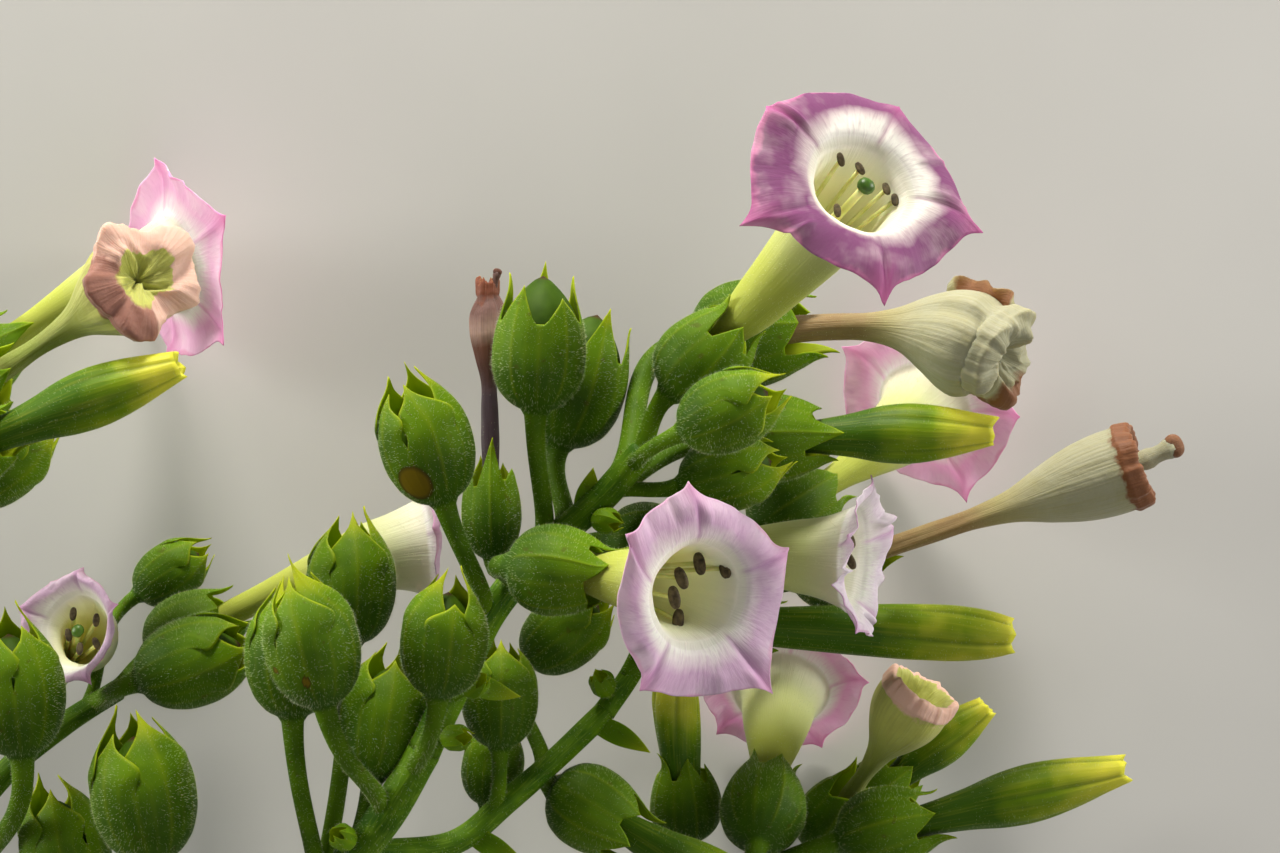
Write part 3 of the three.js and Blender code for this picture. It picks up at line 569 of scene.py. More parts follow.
def limb_edge(flower, columns, rng):
    """The rim's outline as a share of its radius, and how far each column is turned from its even place."""
    tips = flower.get("tips", [(rng.uniform(-5, 5), rng.uniform(0.94, 1.06)) for _ in range(LOBES)])
    gaps = flower.get("gaps", rng.uniform(0.80, 0.87, LOBES))
    shape = 0.35 * columns.near ** 2 + 0.65 * columns.near ** 9
    edge = columns.by_notch(gaps) * (1 - shape) + columns.by_lobe([reach for _, reach in tips]) * shape
    edge += 0.008 * waves(rng, columns.angle, (11, 17, 26), 0.3)
    turns = np.radians([turn for turn, _ in tips])
    between = (turns + np.roll(turns, -1)) / 2
    share = smoothstep(0, 1, columns.share)
    return edge, columns.by_lobe(turns) * (1 - share) + columns.by_notch(between) * share


def limb_relief(flower, columns, rho, rng):
    """How far the rim stands forward of its mouth: a shallow dish with creases, folds and curled lobes."""
    crumple = flower.get("crumple", 1.0)
    dish = eased([(0, -0.3), (0.08, 0.25), (0.25, 0.75), (0.5, 1.1), (0.75, 1.05), (1, 0.55)], rho)
    dish = dish + flower.get("forward", 0.0) * rho ** 1.3
    crease = -0.35 * np.exp(-(columns.share / 0.07) ** 2) * smoothstep(0.05, 0.5, rho)
    pleat = 0.5 * np.cos(math.pi * columns.side) * smoothstep(0.1, 0.8, rho)
    sway = (0.7 * waves(rng, columns.angle, (1, 2, 3), 0.4) * rho ** 1.5
            + 0.22 * waves(rng, columns.angle, (9, 13, 19, 27), 0.3) * smoothstep(0.35, 1.0, rho))
    for _ in range(9):
        place, width = rng.uniform(0, 2 * math.pi), rng.uniform(0.025, 0.07)
        start, height = rng.uniform(0.2, 0.65), rng.uniform(-0.45, 0.6)
        away = (columns.angle - place + math.pi) % (2 * math.pi) - math.pi
        sway = sway + height * np.exp(-(away / width) ** 2) * smoothstep(start, start + 0.25, rho)
    curls = columns.by_lobe(rng.uniform(-1.4, 0.8, LOBES)) * columns.near ** 1.5 * rho ** 4
    return dish + crease + pleat + sway * crumple + curls * crumple


def corolla_grid(spine, flower, rng):
    """An open flower's trumpet as one closed skin: tube, cup and rim outside, then rim and cup inside."""
    kept = sizes()
    size = flower.get("size", 1)
    cup = flower.get("cup", kept.cup_length) * size
    mouth = spine.length
    radius = kept.cup_radius * size
    columns = Columns(flower.get("steps", 10), 1.3, turn_to(spine, flower["lobe"]))
    count = columns.count
    start = 3.9 * size
    low = 1.18 * radius
    knots = [(start, 1.55 * size), (0.35 * (mouth - cup) + 2.5, 1.8 * size),
             (0.75 * (mouth - cup), 2.1 * size), (mouth - cup, 0.52 * radius),
             (mouth - 0.75 * cup, 0.68 * radius), (mouth - 0.5 * cup, 0.83 * radius),
             (mouth - 0.25 * cup, 0.95 * radius), (mouth - 2.2, 1.05 * radius), (mouth - 0.3, low)]
    climb = np.linspace(0, 1, 36)[:, None]
    tube_s = start + climb * (mouth - 0.3 - start)
    crease = 0.03 * smoothstep(0.2, 0.7, columns.share)
    tube_r = eased(knots, tube_s) * (1 - crease * smoothstep(mouth - cup, mouth - 0.3 * cup, tube_s))

    rho = np.linspace(0, 1, 26)[1:, None]
    edge, turned = limb_edge(flower, columns, rng)
    rim = flower.get("rim", 1) * kept.limb_radius
    limb_r = low + (rim * edge - low) * rho
    limb_s = mouth + limb_relief(flower, columns, rho, rng)
    wall = kept.petal * (0.62 - 0.3 * rho)

    dip = np.linspace(1, 0, 22)[:, None] ** 0.8
    deep = mouth - cup - 1
    in_s = deep + (mouth - 0.3 - deep) * dip
    in_r = np.maximum(eased(knots, in_s) * (1 - crease) - 0.36, 0.3)

    back = slice(None, None, -1)
    distance = rows_of(count, tube_s[:1], tube_s, limb_s, limb_s[back] + wall[back], in_s + 0.12,
                       in_s[-1:] - 0.5)
    radii = rows_of(count, [[0]], tube_r, limb_r, limb_r[back], in_r, [[0]])
    turn = rows_of(count, [[0]], 0 * tube_s, turned * rho, (turned * rho)[back], 0 * in_s, [[0]])
    points = swept(spine, distance, radii, columns.angle + turn)
    return points, corolla_layers(spine, flower, columns, climb, rho, (mouth - in_s) / cup)


def corolla_layers(spine, flower, columns, climb, rho, inner):
    """What the petal material follows, up the tube, over the rim and down into the cup."""
    count = columns.count
    flat, none, back = 0 * climb, 0 * inner, slice(None, None, -1)
    cusp = rho ** 3 * columns.near ** 5
    # Painted light and shade: the pale ring is widened towards one direction and narrowed on the far side
    degrees, pale = flower.get("ring", (0, 0))
    blush = rho - pale * np.cos(columns.angle - turn_to(spine, degrees)) * (1 - rho)
    return dict(spread=rows_of(count, [[0]], flat, rho, rho[back], none, [[0]]),
                blush=rows_of(count, [[0]], flat, rho, blush[back], none, [[0]]),
                tube=rows_of(count, [[0]], climb, 1 + 0 * rho, 1 + 0 * rho, 1 + none, [[1]]),
                deep=rows_of(count, [[0]], flat, 0 * rho, 0 * rho, inner, inner[-1:]),
                cusp=rows_of(count, [[0]], flat, cusp, cusp[back], none, [[0]]),
                hairy=rows_of(count, [[0]], 1 + flat, 0 * rho, 0 * rho, none, [[0]]),
                rib=columns.near[None, :])


def rod_grid(start, end, radius, bow=0.0, rows=10, columns=8):
    """A slender rod, slightly bowed."""
    angle = np.linspace(0, 2 * math.pi, columns + 1)
    middle = (start + end) / 2 + np.array([bow, -bow, 0.5 * bow])
    t = np.linspace(0, 1, rows)[:, None]
    spine = Spine((1 - t) ** 2 * start + 2 * t * (1 - t) * middle + t ** 2 * end)
    places = np.concatenate([[0], np.linspace(0, spine.length, rows), [spine.length]])[:, None]
    girth = np.concatenate([[0], np.broadcast_to(radius, rows), [0]])[:, None]
    spread = np.zeros((rows + 2, columns + 1))
    return swept(spine, places + spread, girth + spread, angle + spread)


def blob_grid(centre, along, half_length, half_width, furrow=0.0, rows=10, columns=14):
    """A small egg-shaped body about a centre, with two furrows."""
    along = unit(along)
    spine = Spine(centre + along * np.linspace(-half_length, half_length, 12)[:, None])
    t = np.linspace(0, math.pi, rows + 2)[:, None]
    angle = np.linspace(0, 2 * math.pi, columns + 1)
    radius = half_width * np.sin(t) ** 0.8 * (1 - furrow * np.cos(angle) ** 8)
    distance = half_length * (1 - np.cos(t)) + 0 * angle
    return swept(spine, distance, radius, np.broadcast_to(angle, radius.shape))


# A closed corolla's radius in millimetres at shares of its length
BUD_OUTLINES = {
    "swollen": [(0, 1.8), (0.3, 2.4), (0.42, 3.0), (0.55, 3.9), (0.65, 4.15), (0.8, 3.6), (0.93, 2.6),
                (1, 2.0)],
    "even": [(0, 2.1), (0.3, 3.0), (0.5, 3.6), (0.7, 4.0), (0.85, 3.9), (0.95, 3.2), (1, 2.5)],
}


def bud_grid(spine, bud, rng):
    """A closed corolla: slender, swollen beyond its middle, with folded lobes at its blunt end."""
    size = bud.get("size", 1)
    columns = Columns(8, 1.0, rng.uniform(0, 1))
    climb = np.linspace(0, 1, 54)[:, None]
    start = 3 * size
    fold = smoothstep(0.35, 1.0, climb)
    facet = 0.04 * smoothstep(0.2, 1, columns.share) * smoothstep(0.2, 0.6, climb)
    radius = size * eased(BUD_OUTLINES[bud.get("shape", "swollen")], climb)
    radius = radius * (1 - facet - 0.07 * smoothstep(0.7, 1, columns.share) * fold)
    radius = radius * (1 + 0.03 * waves(rng, columns.angle, (1, 2, 3)))
    ragged = 0.9 * size * columns.near * columns.by_lobe(rng.uniform(0.1, 1.2, LOBES))
    distance = start + climb * (spine.length - start - 1.0 * size) + ragged * climb ** 14
    tuck = np.array([0.82, 0.55, 0.28])[:, None]
    tip_s = distance[-1] - (1 - tuck) * 1.6 * size
    pole = (spine.length - 2.6 * size) * np.ones((1, 1))
    count = columns.count
    points = swept(spine, rows_of(count, distance[:1], distance, tip_s, pole),
                   rows_of(count, [[0]], radius, radius[-1] * tuck, [[0]]),
                   columns.angle + 0.45 * rows_of(count, climb[:1], climb, 1 + 0 * tuck, [[1]]) ** 3)
    return points, dict(tone=rows_of(count, climb[:1], climb, 1 + 0 * tuck, [[1]]), rib=columns.near[None, :],
                        hairy=rows_of(count, [[0]], 1 + 0 * climb, 0 * tuck, [[0]]))


def withered_grid(spine, flower, rng):
    """A withered corolla: dry tube, slack cup, and a shrivelled rim folded in over the mouth."""
    size = flower.get("size", 1)
    slack = flower.get("slack", 1.0)
    mouth = spine.length
    columns = Columns(9)
    angle = columns.angle
    cup = flower.get("cup", 5.9) * size
    shut = flower.get("shut", 0)
    start = 3 * size
    climb = np.linspace(0, 1, 54)[:, None]
    outline = [(0, 1.6 * size), (0.3, 1.5 * size), (0.54, 1.6 * size), (0.66, 0.42 * cup), (0.76, 0.70 * cup),
               (0.87, 0.94 * cup), (0.96, (1.02 - 0.25 * shut) * cup), (1, (1.02 - 0.6 * shut) * cup)]
    pleats = waves(rng, angle, (5, 8, 11, 15), 0.5) * smoothstep(0.55, 1.0, climb)
    wrinkles = waves(rng, angle + 2 * climb, (3, 4, 6), 0.5) * (1 - smoothstep(0.5, 0.75, climb))
    knobs = 0.05 * np.sin(climb * 23 + rng.uniform(0, 6)) * (1 - smoothstep(0.4, 0.6, climb))
    radius = eased(outline, climb) * (1 + 0.035 * pleats * slack + 0.09 * wrinkles + knobs)
    uneven = 0.5 * slack * climb ** 8 * waves(rng, angle, (1, 2, 4), 0.3)
    distance = start + climb * (mouth - 0.6 - start) + uneven
    roll = np.linspace(0, 1, 24)[1:, None]
    crinkle = waves(rng, angle, (7, 12, 19, 28), 0.2)
    lumps = waves(rng, angle, (2, 3, 5), 0.3)
    folds = np.cos(LOBES * angle + rng.uniform(0, 6)) * flower.get("spread", 0) * smoothstep(0.85, 0.5, roll)
    gape = flower.get("gape", 0.6)
    swell = [(0, -0.5), (0.25, 0.7), (0.45, 1.9), (0.6, 2.5), (0.72, 2.4), (0.86, 1.5), (1, 0.2)]
    inward = [(0, 1.02), (0.12, 1.07), (0.3, 1.05), (0.5, 1.0), (0.65, 0.5 + 0.67 * gape),
              (0.8, 0.3 + 0.73 * gape), (1, gape)]
    puckers = waves(rng, angle + 3 * roll, (4, 6, 9), 0.2) * smoothstep(0.2, 0.6, roll)
    rough = 0.35 * crinkle + 0.6 * slack * lumps + 0.3 * slack * puckers + folds
    rim_s = mouth + size * (eased(swell, roll) + rough * np.sin(0.5 * math.pi * roll))
    ragged = flower.get("spread", 0) + 0.07 * crinkle + 0.10 * slack * lumps + 0.4 * folds
    rim_r = (1 - 0.6 * shut) * cup * (eased(inward, roll) + ragged * np.sin(math.pi * roll) ** 0.5)
    well = gape * np.array([0.85, 0.7, 0.55, 0.35])[:, None]
    well_s = mouth + np.array([-0.8, -2.0, -3.2, -4.0])[:, None] * size
    count = columns.count
    points = swept(spine, rows_of(count, distance[:1], distance, rim_s, well_s, well_s[-1:] - 0.2),
                   rows_of(count, [[0]], radius, rim_r, cup * well, [[0]]),
                   np.broadcast_to(angle, (len(climb) + len(roll) + len(well) + 2, count)))
    brown = flower.get("band", 1.0)
    inner = 1.0 if flower["look"] == "fading" else 0.4
    band = brown * (0.5 + 0.5 * smoothstep(0, 0.2, roll) - inner * smoothstep(0.6, 0.85, roll)) + 0.14 * lumps
    degrees, least = flower.get("burnt", (0, 1.2))
    burnt = smoothstep(least, least + 0.5, np.cos(angle - turn_to(spine, degrees)) + 0.3 * lumps)
    # No material reads rib, but its random draws come before the flaps' draws
    layers = dict(tone=rows_of(count, [[0]], climb, 1 + 0 * roll, 1 + 0 * well, [[1]]),
                  rim=rows_of(count, [[0]], 0.45 * brown * smoothstep(0.955, 1, climb), band,
                              (1 - inner) * brown + 0 * well, [[0.8 * (1 - inner)]]),
                  burnt=rows_of(count, [[0]], burnt * smoothstep(0.93, 1, climb),
                                burnt * (1 - smoothstep(0.6, 0.9, roll)), 0 * well, [[0]]),
                  hairy=rows_of(count, [[0]], 1 - smoothstep(0.55, 0.7, climb), 0 * roll, 0 * well, [[0]]),
                  rib=0.5 + 0.5 * waves(rng, angle, (10, 17, 26), 0.3)[None, :])
    return points, layers


# Stems and leaves

def stem_grid(spine, foot, tip, rng):
    """A tapering stem with faint ridges and slight swellings."""
    columns = Columns(4)
    rows = max(10, round(spine.length / 0.9))
    climb = np.linspace(0, 1, rows)[:, None]
    ridge = 0.025 * np.cos(LOBES * columns.angle) + 0.025 * waves(rng, columns.angle, (2, 3))
    lump = 0.025 * np.sin(climb * spine.length / 2.7 + rng.uniform(0, 6))
    radius = (foot + (tip - foot) * climb) * (1 + ridge + lump)
    count = columns.count
    points = swept(spine, rows_of(count, [[0]], climb * spine.length, [[spine.length + 0.3 * tip]],
                                  [[spine.length + 0.5 * tip]]),
                   rows_of(count, [[0]], radius, 0.75 * radius[-1:], [[0]]),
                   np.broadcast_to(columns.angle, (rows + 3, count)))
    return points, dict(tone=rows_of(count, [[1]], 0 * climb, [[0]], [[0]]),
                        hairy=rows_of(count, [[0]], 1 + 0 * climb, [[1]], [[1]]))


def blade_grid(centre, across, normal, outline, thick, hollow):
    """A narrow blade along a line, closed round: its half width comes from an outline, and it is hollowed."""
    angle = np.linspace(0, 2 * math.pi, 17)
    climb = np.linspace(0, 1, len(centre))[:, None]
    half = eased(outline, climb)
    wide = half * np.cos(angle)
    thin = (thick * np.sin(angle)
            + hollow * (np.cos(angle) ** 2 - 0.4) * np.minimum(half / half.max() + 0.1, 1))
    points = centre[:, None] + across[:, None] * wide[..., None] + normal[:, None] * thin[..., None]
    ends = [np.broadcast_to(centre[row], (1, len(angle), 3)) for row in (0, -1)]
    count = len(angle)
    layers = dict(tone=0.8 * rows_of(count, climb[:1], climb, climb[-1:]) ** 2,
                  rib=0.5 * np.exp(-(np.sin(angle) / 0.3) ** 2), hairy=1.0, blemish=0.0, height=0.6)
    return np.concatenate([ends[0], points, ends[1]]), layers


def bract_grid(start, end, rng):
    """A small narrow leaf."""
    bend = np.sin(np.linspace(0, 1, 14) * 2.2)[:, None] * rng.uniform(-1, 1, 3) * 0.7
    spine = Spine(np.linspace(start, end, 14) + bend)
    centre, _, side, other = spine.sections(np.linspace(0, spine.length, 26))
    outline = [(0, 1.1), (0.3, 1.55), (0.5, 1.5), (0.75, 0.95), (0.92, 0.35), (1, 0.03)]
    return blade_grid(centre, other, side, outline, 0.26, 0.5)


def flap_grid(spine, distance, radius, first, last, half, run, stand, rng):
    """A crumpled dry shred of a withered rim: it goes round a cup and forward along it, and stands off it."""
    share = np.linspace(0, 1, 30)
    lift = radius + 0.35 * waves(rng, 9 * share, (1, 2, 3), 0.3)
    along = distance + run * share + 0.5 * waves(rng, 5 * share, (1, 2, 3), 0.5)
    centre = swept(spine, along, lift, first + (last - first) * share)
    out = unit(centre - spine.sections(along)[0])
    tangent = unit(np.gradient(centre, axis=0))
    lean = (stand + 0.5 * waves(rng, 12 * share, (1, 2), 0.3))[:, None]
    across = unit(np.cos(lean) * np.cross(tangent, out) + np.sin(lean) * out)
    outline = [(0, 0.4 * half), (0.15, half), (0.4, 0.75 * half), (0.6, 1.1 * half), (0.85, 0.8 * half),
               (1, 0.1)]
    points, layers = blade_grid(centre, across, np.cross(tangent, across), outline, 0.16, -0.4)
    place = np.sqrt(layers["tone"] / 0.8)
    brown = smoothstep(0.02, 0.25, place) * smoothstep(0.98, 0.75, place)
    return points, dict(tone=1.0, rim=0.0, burnt=brown)


# Materials: living tissue is satin and mottled, and lets light through where it is thin

MATERIALS = {}


def linear(code):
    """An sRGB hex colour as linear values."""
    parts = [int(code[i:i + 2], 16) / 255 for i in (1, 3, 5)]
    return (*[c / 12.92 if c <= 0.04045 else ((c + 0.055) / 1.055) ** 2.4 for c in parts], 1.0)


def grain(millimetres):
    """The scale of a pattern whose lumps are this many millimetres across."""
    return 1 / (millimetres * MM)


def add_node(tree, kind, inputs, output=0, stops=(), **settings):
    """One node with its settings and links, of which one output is handed on.

    An input takes a value or another node's output, and stops are a ramp's colours in their order. By number,
    a MapRange's inputs are 0 the value, 1 and 2 its lowest and highest, and 3 and 4 what those become, and a
    Mix's are 0 the share and 6 and 7 the two colours.
    """
    node = tree.nodes.new("ShaderNode" + kind)
    for name, value in settings.items():
        setattr(node, name, value)
    for key, value in inputs.items():
        if isinstance(value, bpy.types.NodeSocket):
            tree.links.new(value, node.inputs[key])
        else:
            node.inputs[key].default_value = value
    for number, (place, colour) in enumerate(stops):
        elements = node.color_ramp.elements
        element = elements[number] if number < 2 else elements.new(place)
        element.position = place
        element.color = colour
    return node.outputs[output] if node.outputs else None


def new_tissue(name):
    """A new material's bare tree, with the places on the head and on the skin that its patterns follow."""
    MATERIALS[name] = bpy.data.materials.new(name)
    MATERIALS[name].use_nodes = True
    tree = MATERIALS[name].node_tree
    tree.nodes.clear()
    place = add_node(tree, "TexCoord", {}, "Object")
    skin = add_node(tree, "UVMap", {}, uv_map="UVMap")
    return tree, place, skin


def calyx_leaf(name, deep, leaf, tip):
    """Calyx leaf, grown and downy: a satin olive green, darker below, with yellow-green veins and teeth."""
    tree, place, skin = new_tissue(name)
    patches = add_node(tree, "TexNoise", {"Vector": place, "Scale": grain(6), "Detail": 3.0})
    wander = add_node(tree, "MapRange", {0: patches, 1: 0.3, 2: 0.7, 3: -0.25, 4: 0.25})
    height = add_node(tree, "Attribute", {}, "Fac", attribute_name="height")
    at = add_node(tree, "Math", {0: height, 1: wander}, operation="ADD")
    colour = add_node(tree, "ValToRGB", {"Fac": at}, stops=[(0.15, deep), (0.85, leaf)])
    vein = add_node(tree, "Attribute", {}, "Fac", attribute_name="rib")
    share = add_node(tree, "Math", {0: vein, 1: 0.12}, operation="MULTIPLY")
    colour = add_node(tree, "Mix", {0: share, 6: colour, 7: tip}, 2, data_type="RGBA")
    tooth = add_node(tree, "Attribute", {}, "Fac", attribute_name="tone")
    share = add_node(tree, "MapRange", {0: tooth, 1: 0.1, 2: 1.0, 3: 0.0, 4: 0.85},
                     interpolation_type="SMOOTHSTEP")
    colour = add_node(tree, "Mix", {0: share, 6: colour, 7: tip}, 2, data_type="RGBA")
    specks = add_node(tree, "TexNoise", {"Vector": place, "Scale": grain(1.4), "Detail": 1.0})
    share = add_node(tree, "MapRange", {0: specks, 1: 0.70, 2: 0.77, 3: 0.0, 4: 0.4})
    colour = add_node(tree, "Mix", {0: share, 6: colour, 7: linear("#4A3C0C")}, 2, data_type="RGBA")
    patch = add_node(tree, "Attribute", {}, "Fac", attribute_name="blemish")
    scar = add_node(tree, "ValToRGB", {"Fac": patch},
                    stops=[(0.1, linear("#33240A")), (0.8, linear("#6C5604"))])
    share = add_node(tree, "MapRange", {0: patch, 1: 0.02, 2: 0.25, 3: 0.0, 4: 0.9})
    colour = add_node(tree, "Mix", {0: share, 6: colour, 7: scar}, 2, data_type="RGBA")
    # 70 streaks round a calyx are half a millimetre apart, like its fine veins
    streaks = add_node(tree, "Mapping", {"Vector": skin, "Scale": (70.0, 5.0, 1.0)})
    streaks = add_node(tree, "TexNoise", {"Vector": streaks, "Scale": 1.0, "Detail": 2.0})
    relief = add_node(tree, "Math", {0: vein, 1: streaks}, operation="ADD")
    normal = add_node(tree, "Bump", {"Height": relief, "Strength": 0.5, "Distance": 0.08 * MM})
    surface = add_node(tree, "BsdfPrincipled", {
        "Base Color": colour, "Normal": normal, "Roughness": 0.6, "IOR": 1.38, "Specular IOR Level": 0.2,
        "Sheen Weight": 0.25, "Sheen Roughness": 0.16, "Sheen Tint": linear("#C0CE6C"),
        "Subsurface Weight": 0.3, "Subsurface Radius": (0.8, 1.0, 0.05), "Subsurface Scale": 1.2 * MM})
    add_node(tree, "OutputMaterial", {"Surface": surface})


def open_petal(name, petal, edge, vein, throat, depth):
    """Open petal, grown and fresh: satin, thin enough to glow, pale at the throat and pinker further out, its
    pale ring widened by painted light on one side and narrowed by painted shade on the other.
    """
    tree, place, skin = new_tissue(name)
    # 170 streaks round the rim are six tenths of a millimetre apart, like the veins of the petal
    streaks = add_node(tree, "Mapping", {"Vector": skin, "Scale": (170.0, 14.0, 1.0)})
    streaks = add_node(tree, "TexNoise", {"Vector": streaks, "Scale": 1.0, "Detail": 3.0})
    spread = add_node(tree, "Attribute", {}, "Fac", attribute_name="spread")
    lumps = add_node(tree, "TexNoise", {"Vector": place, "Scale": grain(5), "Detail": 3.0})
    wander = add_node(tree, "MapRange", {0: lumps, 1: 0.3, 2: 0.7, 3: -0.14, 4: 0.1})
    # Painted light and shade: this value is the real fade from the throat out to the rim, shifted so that the
    # pale ring is wider on one side and narrower on the other
    blush = add_node(tree, "Attribute", {}, "Fac", attribute_name="blush")
    out = add_node(tree, "Math", {0: blush, 1: wander}, operation="ADD")
    limb = add_node(tree, "ValToRGB", {"Fac": out},
                    stops=[(0.0, throat), (0.45, petal), (0.92, petal), (1.0, edge)])
    share = add_node(tree, "MapRange", {0: lumps, 1: 0.48, 2: 0.78, 3: 0.0, 4: 0.3})
    limb = add_node(tree, "Mix", {0: share, 6: limb, 7: throat}, 2, data_type="RGBA")
    share = add_node(tree, "MapRange", {0: streaks, 1: 0.5, 2: 0.75, 3: 0.0, 4: 0.35})
    limb = add_node(tree, "Mix", {0: share, 6: limb, 7: vein}, 2, data_type="RGBA")
    middle = add_node(tree, "Attribute", {}, "Fac", attribute_name="rib")
    share = add_node(tree, "MapRange", {0: middle, 1: 0.88, 2: 1.0, 3: 0.0, 4: 0.55})
    limb = add_node(tree, "Mix", {0: share, 6: limb, 7: vein}, 2, data_type="RGBA")
    cusp = add_node(tree, "Attribute", {}, "Fac", attribute_name="cusp")
    limb = add_node(tree, "Mix", {0: cusp, 6: limb, 7: edge}, 2, data_type="RGBA")
    along = add_node(tree, "Attribute", {}, "Fac", attribute_name="tube")
    tube = add_node(tree, "ValToRGB", {"Fac": along}, stops=[
        (0.0, linear("#A0AC30")), (0.5, linear("#B4BC50")), (0.82, linear("#C6CC8E")),
        (1.0, linear("#DAD8C4"))])
    deep = add_node(tree, "Attribute", {}, "Fac", attribute_name="deep")
    inside = add_node(tree, "ValToRGB", {"Fac": deep}, stops=[
        (0.0, throat), (0.2, linear("#F5F4CC")), (1.0, depth)])
    share = add_node(tree, "MapRange", {0: deep, 1: 0.0, 2: 0.03})
    colour = add_node(tree, "Mix", {0: share, 6: tube, 7: inside}, 2, data_type="RGBA")
    share = add_node(tree, "MapRange", {0: spread, 1: 0.0, 2: 0.06})
    colour = add_node(tree, "Mix", {0: share, 6: colour, 7: limb}, 2, data_type="RGBA")
    relief = add_node(tree, "Math", {0: streaks, 1: lumps}, operation="ADD")
    normal = add_node(tree, "Bump", {"Height": relief, "Strength": 0.6, "Distance": 0.16 * MM})
    surface = add_node(tree, "BsdfPrincipled", {
        "Base Color": colour, "Normal": normal, "Roughness": 0.58, "IOR": 1.4, "Specular IOR Level": 0.35,
        "Sheen Weight": 0.08, "Sheen Roughness": 0.3, "Subsurface Weight": 0.6,
        "Subsurface Radius": (1.0, 0.85, 0.9), "Subsurface Scale": 0.8 * MM})
    add_node(tree, "OutputMaterial", {"Surface": surface})


def closed_petal(name, foot, belly, tip):
    """Closed petal, grown and taut: satin green that yellows towards its tip, with painted shade in its
    folds.
    """
    tree, place, skin = new_tissue(name)
    along = add_node(tree, "Attribute", {}, "Fac", attribute_name="tone")
    lumps = add_node(tree, "TexNoise", {"Vector": place, "Scale": grain(7), "Detail": 2.0})
    wander = add_node(tree, "MapRange", {0: lumps, 1: 0.3, 2: 0.7, 3: -0.12, 4: 0.12})
    at = add_node(tree, "Math", {0: along, 1: wander}, operation="ADD")
    colour = add_node(tree, "ValToRGB", {"Fac": at},
                      stops=[(0.0, foot), (0.5, foot), (0.72, belly), (0.97, tip)])
    # 60 streaks round a bud are four tenths of a millimetre apart, like the veins of the folded petals
    streaks = add_node(tree, "Mapping", {"Vector": skin, "Scale": (60.0, 4.0, 1.0)})
    streaks = add_node(tree, "TexNoise", {"Vector": streaks, "Scale": 1.0, "Detail": 2.0})
    share = add_node(tree, "MapRange", {0: streaks, 1: 0.5, 2: 0.7, 3: 0.0, 4: 0.14})
    colour = add_node(tree, "Mix", {0: share, 6: colour, 7: tip}, 2, data_type="RGBA")
    # Painted shade: the folds between the lobes are darkened
    near = add_node(tree, "Attribute", {}, "Fac", attribute_name="rib")
    share = add_node(tree, "MapRange", {0: near, 1: 0.25, 2: 0.0, 3: 0.0, 4: 0.4})
    colour = add_node(tree, "Mix", {0: share, 6: colour, 7: linear("#466A0C")}, 2, data_type="RGBA")
    normal = add_node(tree, "Bump", {"Height": streaks, "Strength": 0.6, "Distance": 0.12 * MM})
    surface = add_node(tree, "BsdfPrincipled", {
        "Base Color": colour, "Normal": normal, "Roughness": 0.52, "IOR": 1.4, "Specular IOR Level": 0.25,
        "Sheen Weight": 0.12, "Sheen Roughness": 0.2, "Sheen Tint": linear("#DCE8A8"),
        "Subsurface Weight": 0.4, "Subsurface Radius": (0.9, 1.0, 0.15), "Subsurface Scale": 1.8 * MM})
    add_node(tree, "OutputMaterial", {"Surface": surface})


def withered_petal(name, lengthwise, shade, rim, brown):
    """Withered petal, dried on the plant: matt, papery and wrinkled lengthwise, with a brittle brown rim."""
    tree, place, skin = new_tissue(name)
    along = add_node(tree, "Attribute", {}, "Fac", attribute_name="tone")
    colour = add_node(tree, "ValToRGB", {"Fac": along}, stops=lengthwise)
    # 80 streaks round a cup are half a millimetre apart, like the wrinkles of a dry petal
    streaks = add_node(tree, "Mapping", {"Vector": skin, "Scale": (80.0, 6.0, 1.0)})
    streaks = add_node(tree, "TexNoise", {"Vector": streaks, "Scale": 1.0, "Detail": 4.0})
    share = add_node(tree, "MapRange", {0: streaks, 1: 0.48, 2: 0.75, 3: 0.0, 4: 0.35})
    colour = add_node(tree, "Mix", {0: share, 6: colour, 7: shade}, 2, data_type="RGBA")
    stains = add_node(tree, "TexNoise", {"Vector": place, "Scale": grain(5), "Detail": 4.0})
    share = add_node(tree, "MapRange", {0: stains, 1: 0.5, 2: 0.8, 3: 0.0, 4: 0.5})
    colour = add_node(tree, "Mix", {0: share, 6: colour, 7: shade}, 2, data_type="RGBA")
    dry = add_node(tree, "Attribute", {}, "Fac", attribute_name="rim")
    lumps = add_node(tree, "TexNoise", {"Vector": place, "Scale": grain(1.6), "Detail": 3.0})
    wander = add_node(tree, "MapRange", {0: lumps, 1: 0.25, 2: 0.75, 3: -0.2, 4: 0.2})
    edge = add_node(tree, "Math", {0: dry, 1: wander}, operation="ADD")
    share = add_node(tree, "MapRange", {0: edge, 1: 0.45, 2: 0.62, 3: 0.0, 4: 0.95})
    colour = add_node(tree, "Mix", {0: share, 6: colour, 7: rim}, 2, data_type="RGBA")
    burnt = add_node(tree, "Attribute", {}, "Fac", attribute_name="burnt")
    burnt = add_node(tree, "Math", {0: burnt, 1: wander}, operation="ADD")
    share = add_node(tree, "MapRange", {0: burnt, 1: 0.3, 2: 0.7, 3: 0.0, 4: 0.9})
    colour = add_node(tree, "Mix", {0: share, 6: colour, 7: brown}, 2, data_type="RGBA")
    relief = add_node(tree, "Math", {0: streaks, 1: lumps}, operation="ADD")
    normal = add_node(tree, "Bump", {"Height": relief, "Strength": 0.7, "Distance": 0.25 * MM})
    surface = add_node(tree, "BsdfPrincipled", {
        "Base Color": colour, "Normal": normal, "Roughness": 0.62, "IOR": 1.45, "Sheen Weight": 0.1,
        "Subsurface Weight": 0.3, "Subsurface Radius": (1.0, 0.75, 0.4), "Subsurface Scale": 1.6 * MM})
    add_node(tree, "OutputMaterial", {"Surface": surface})


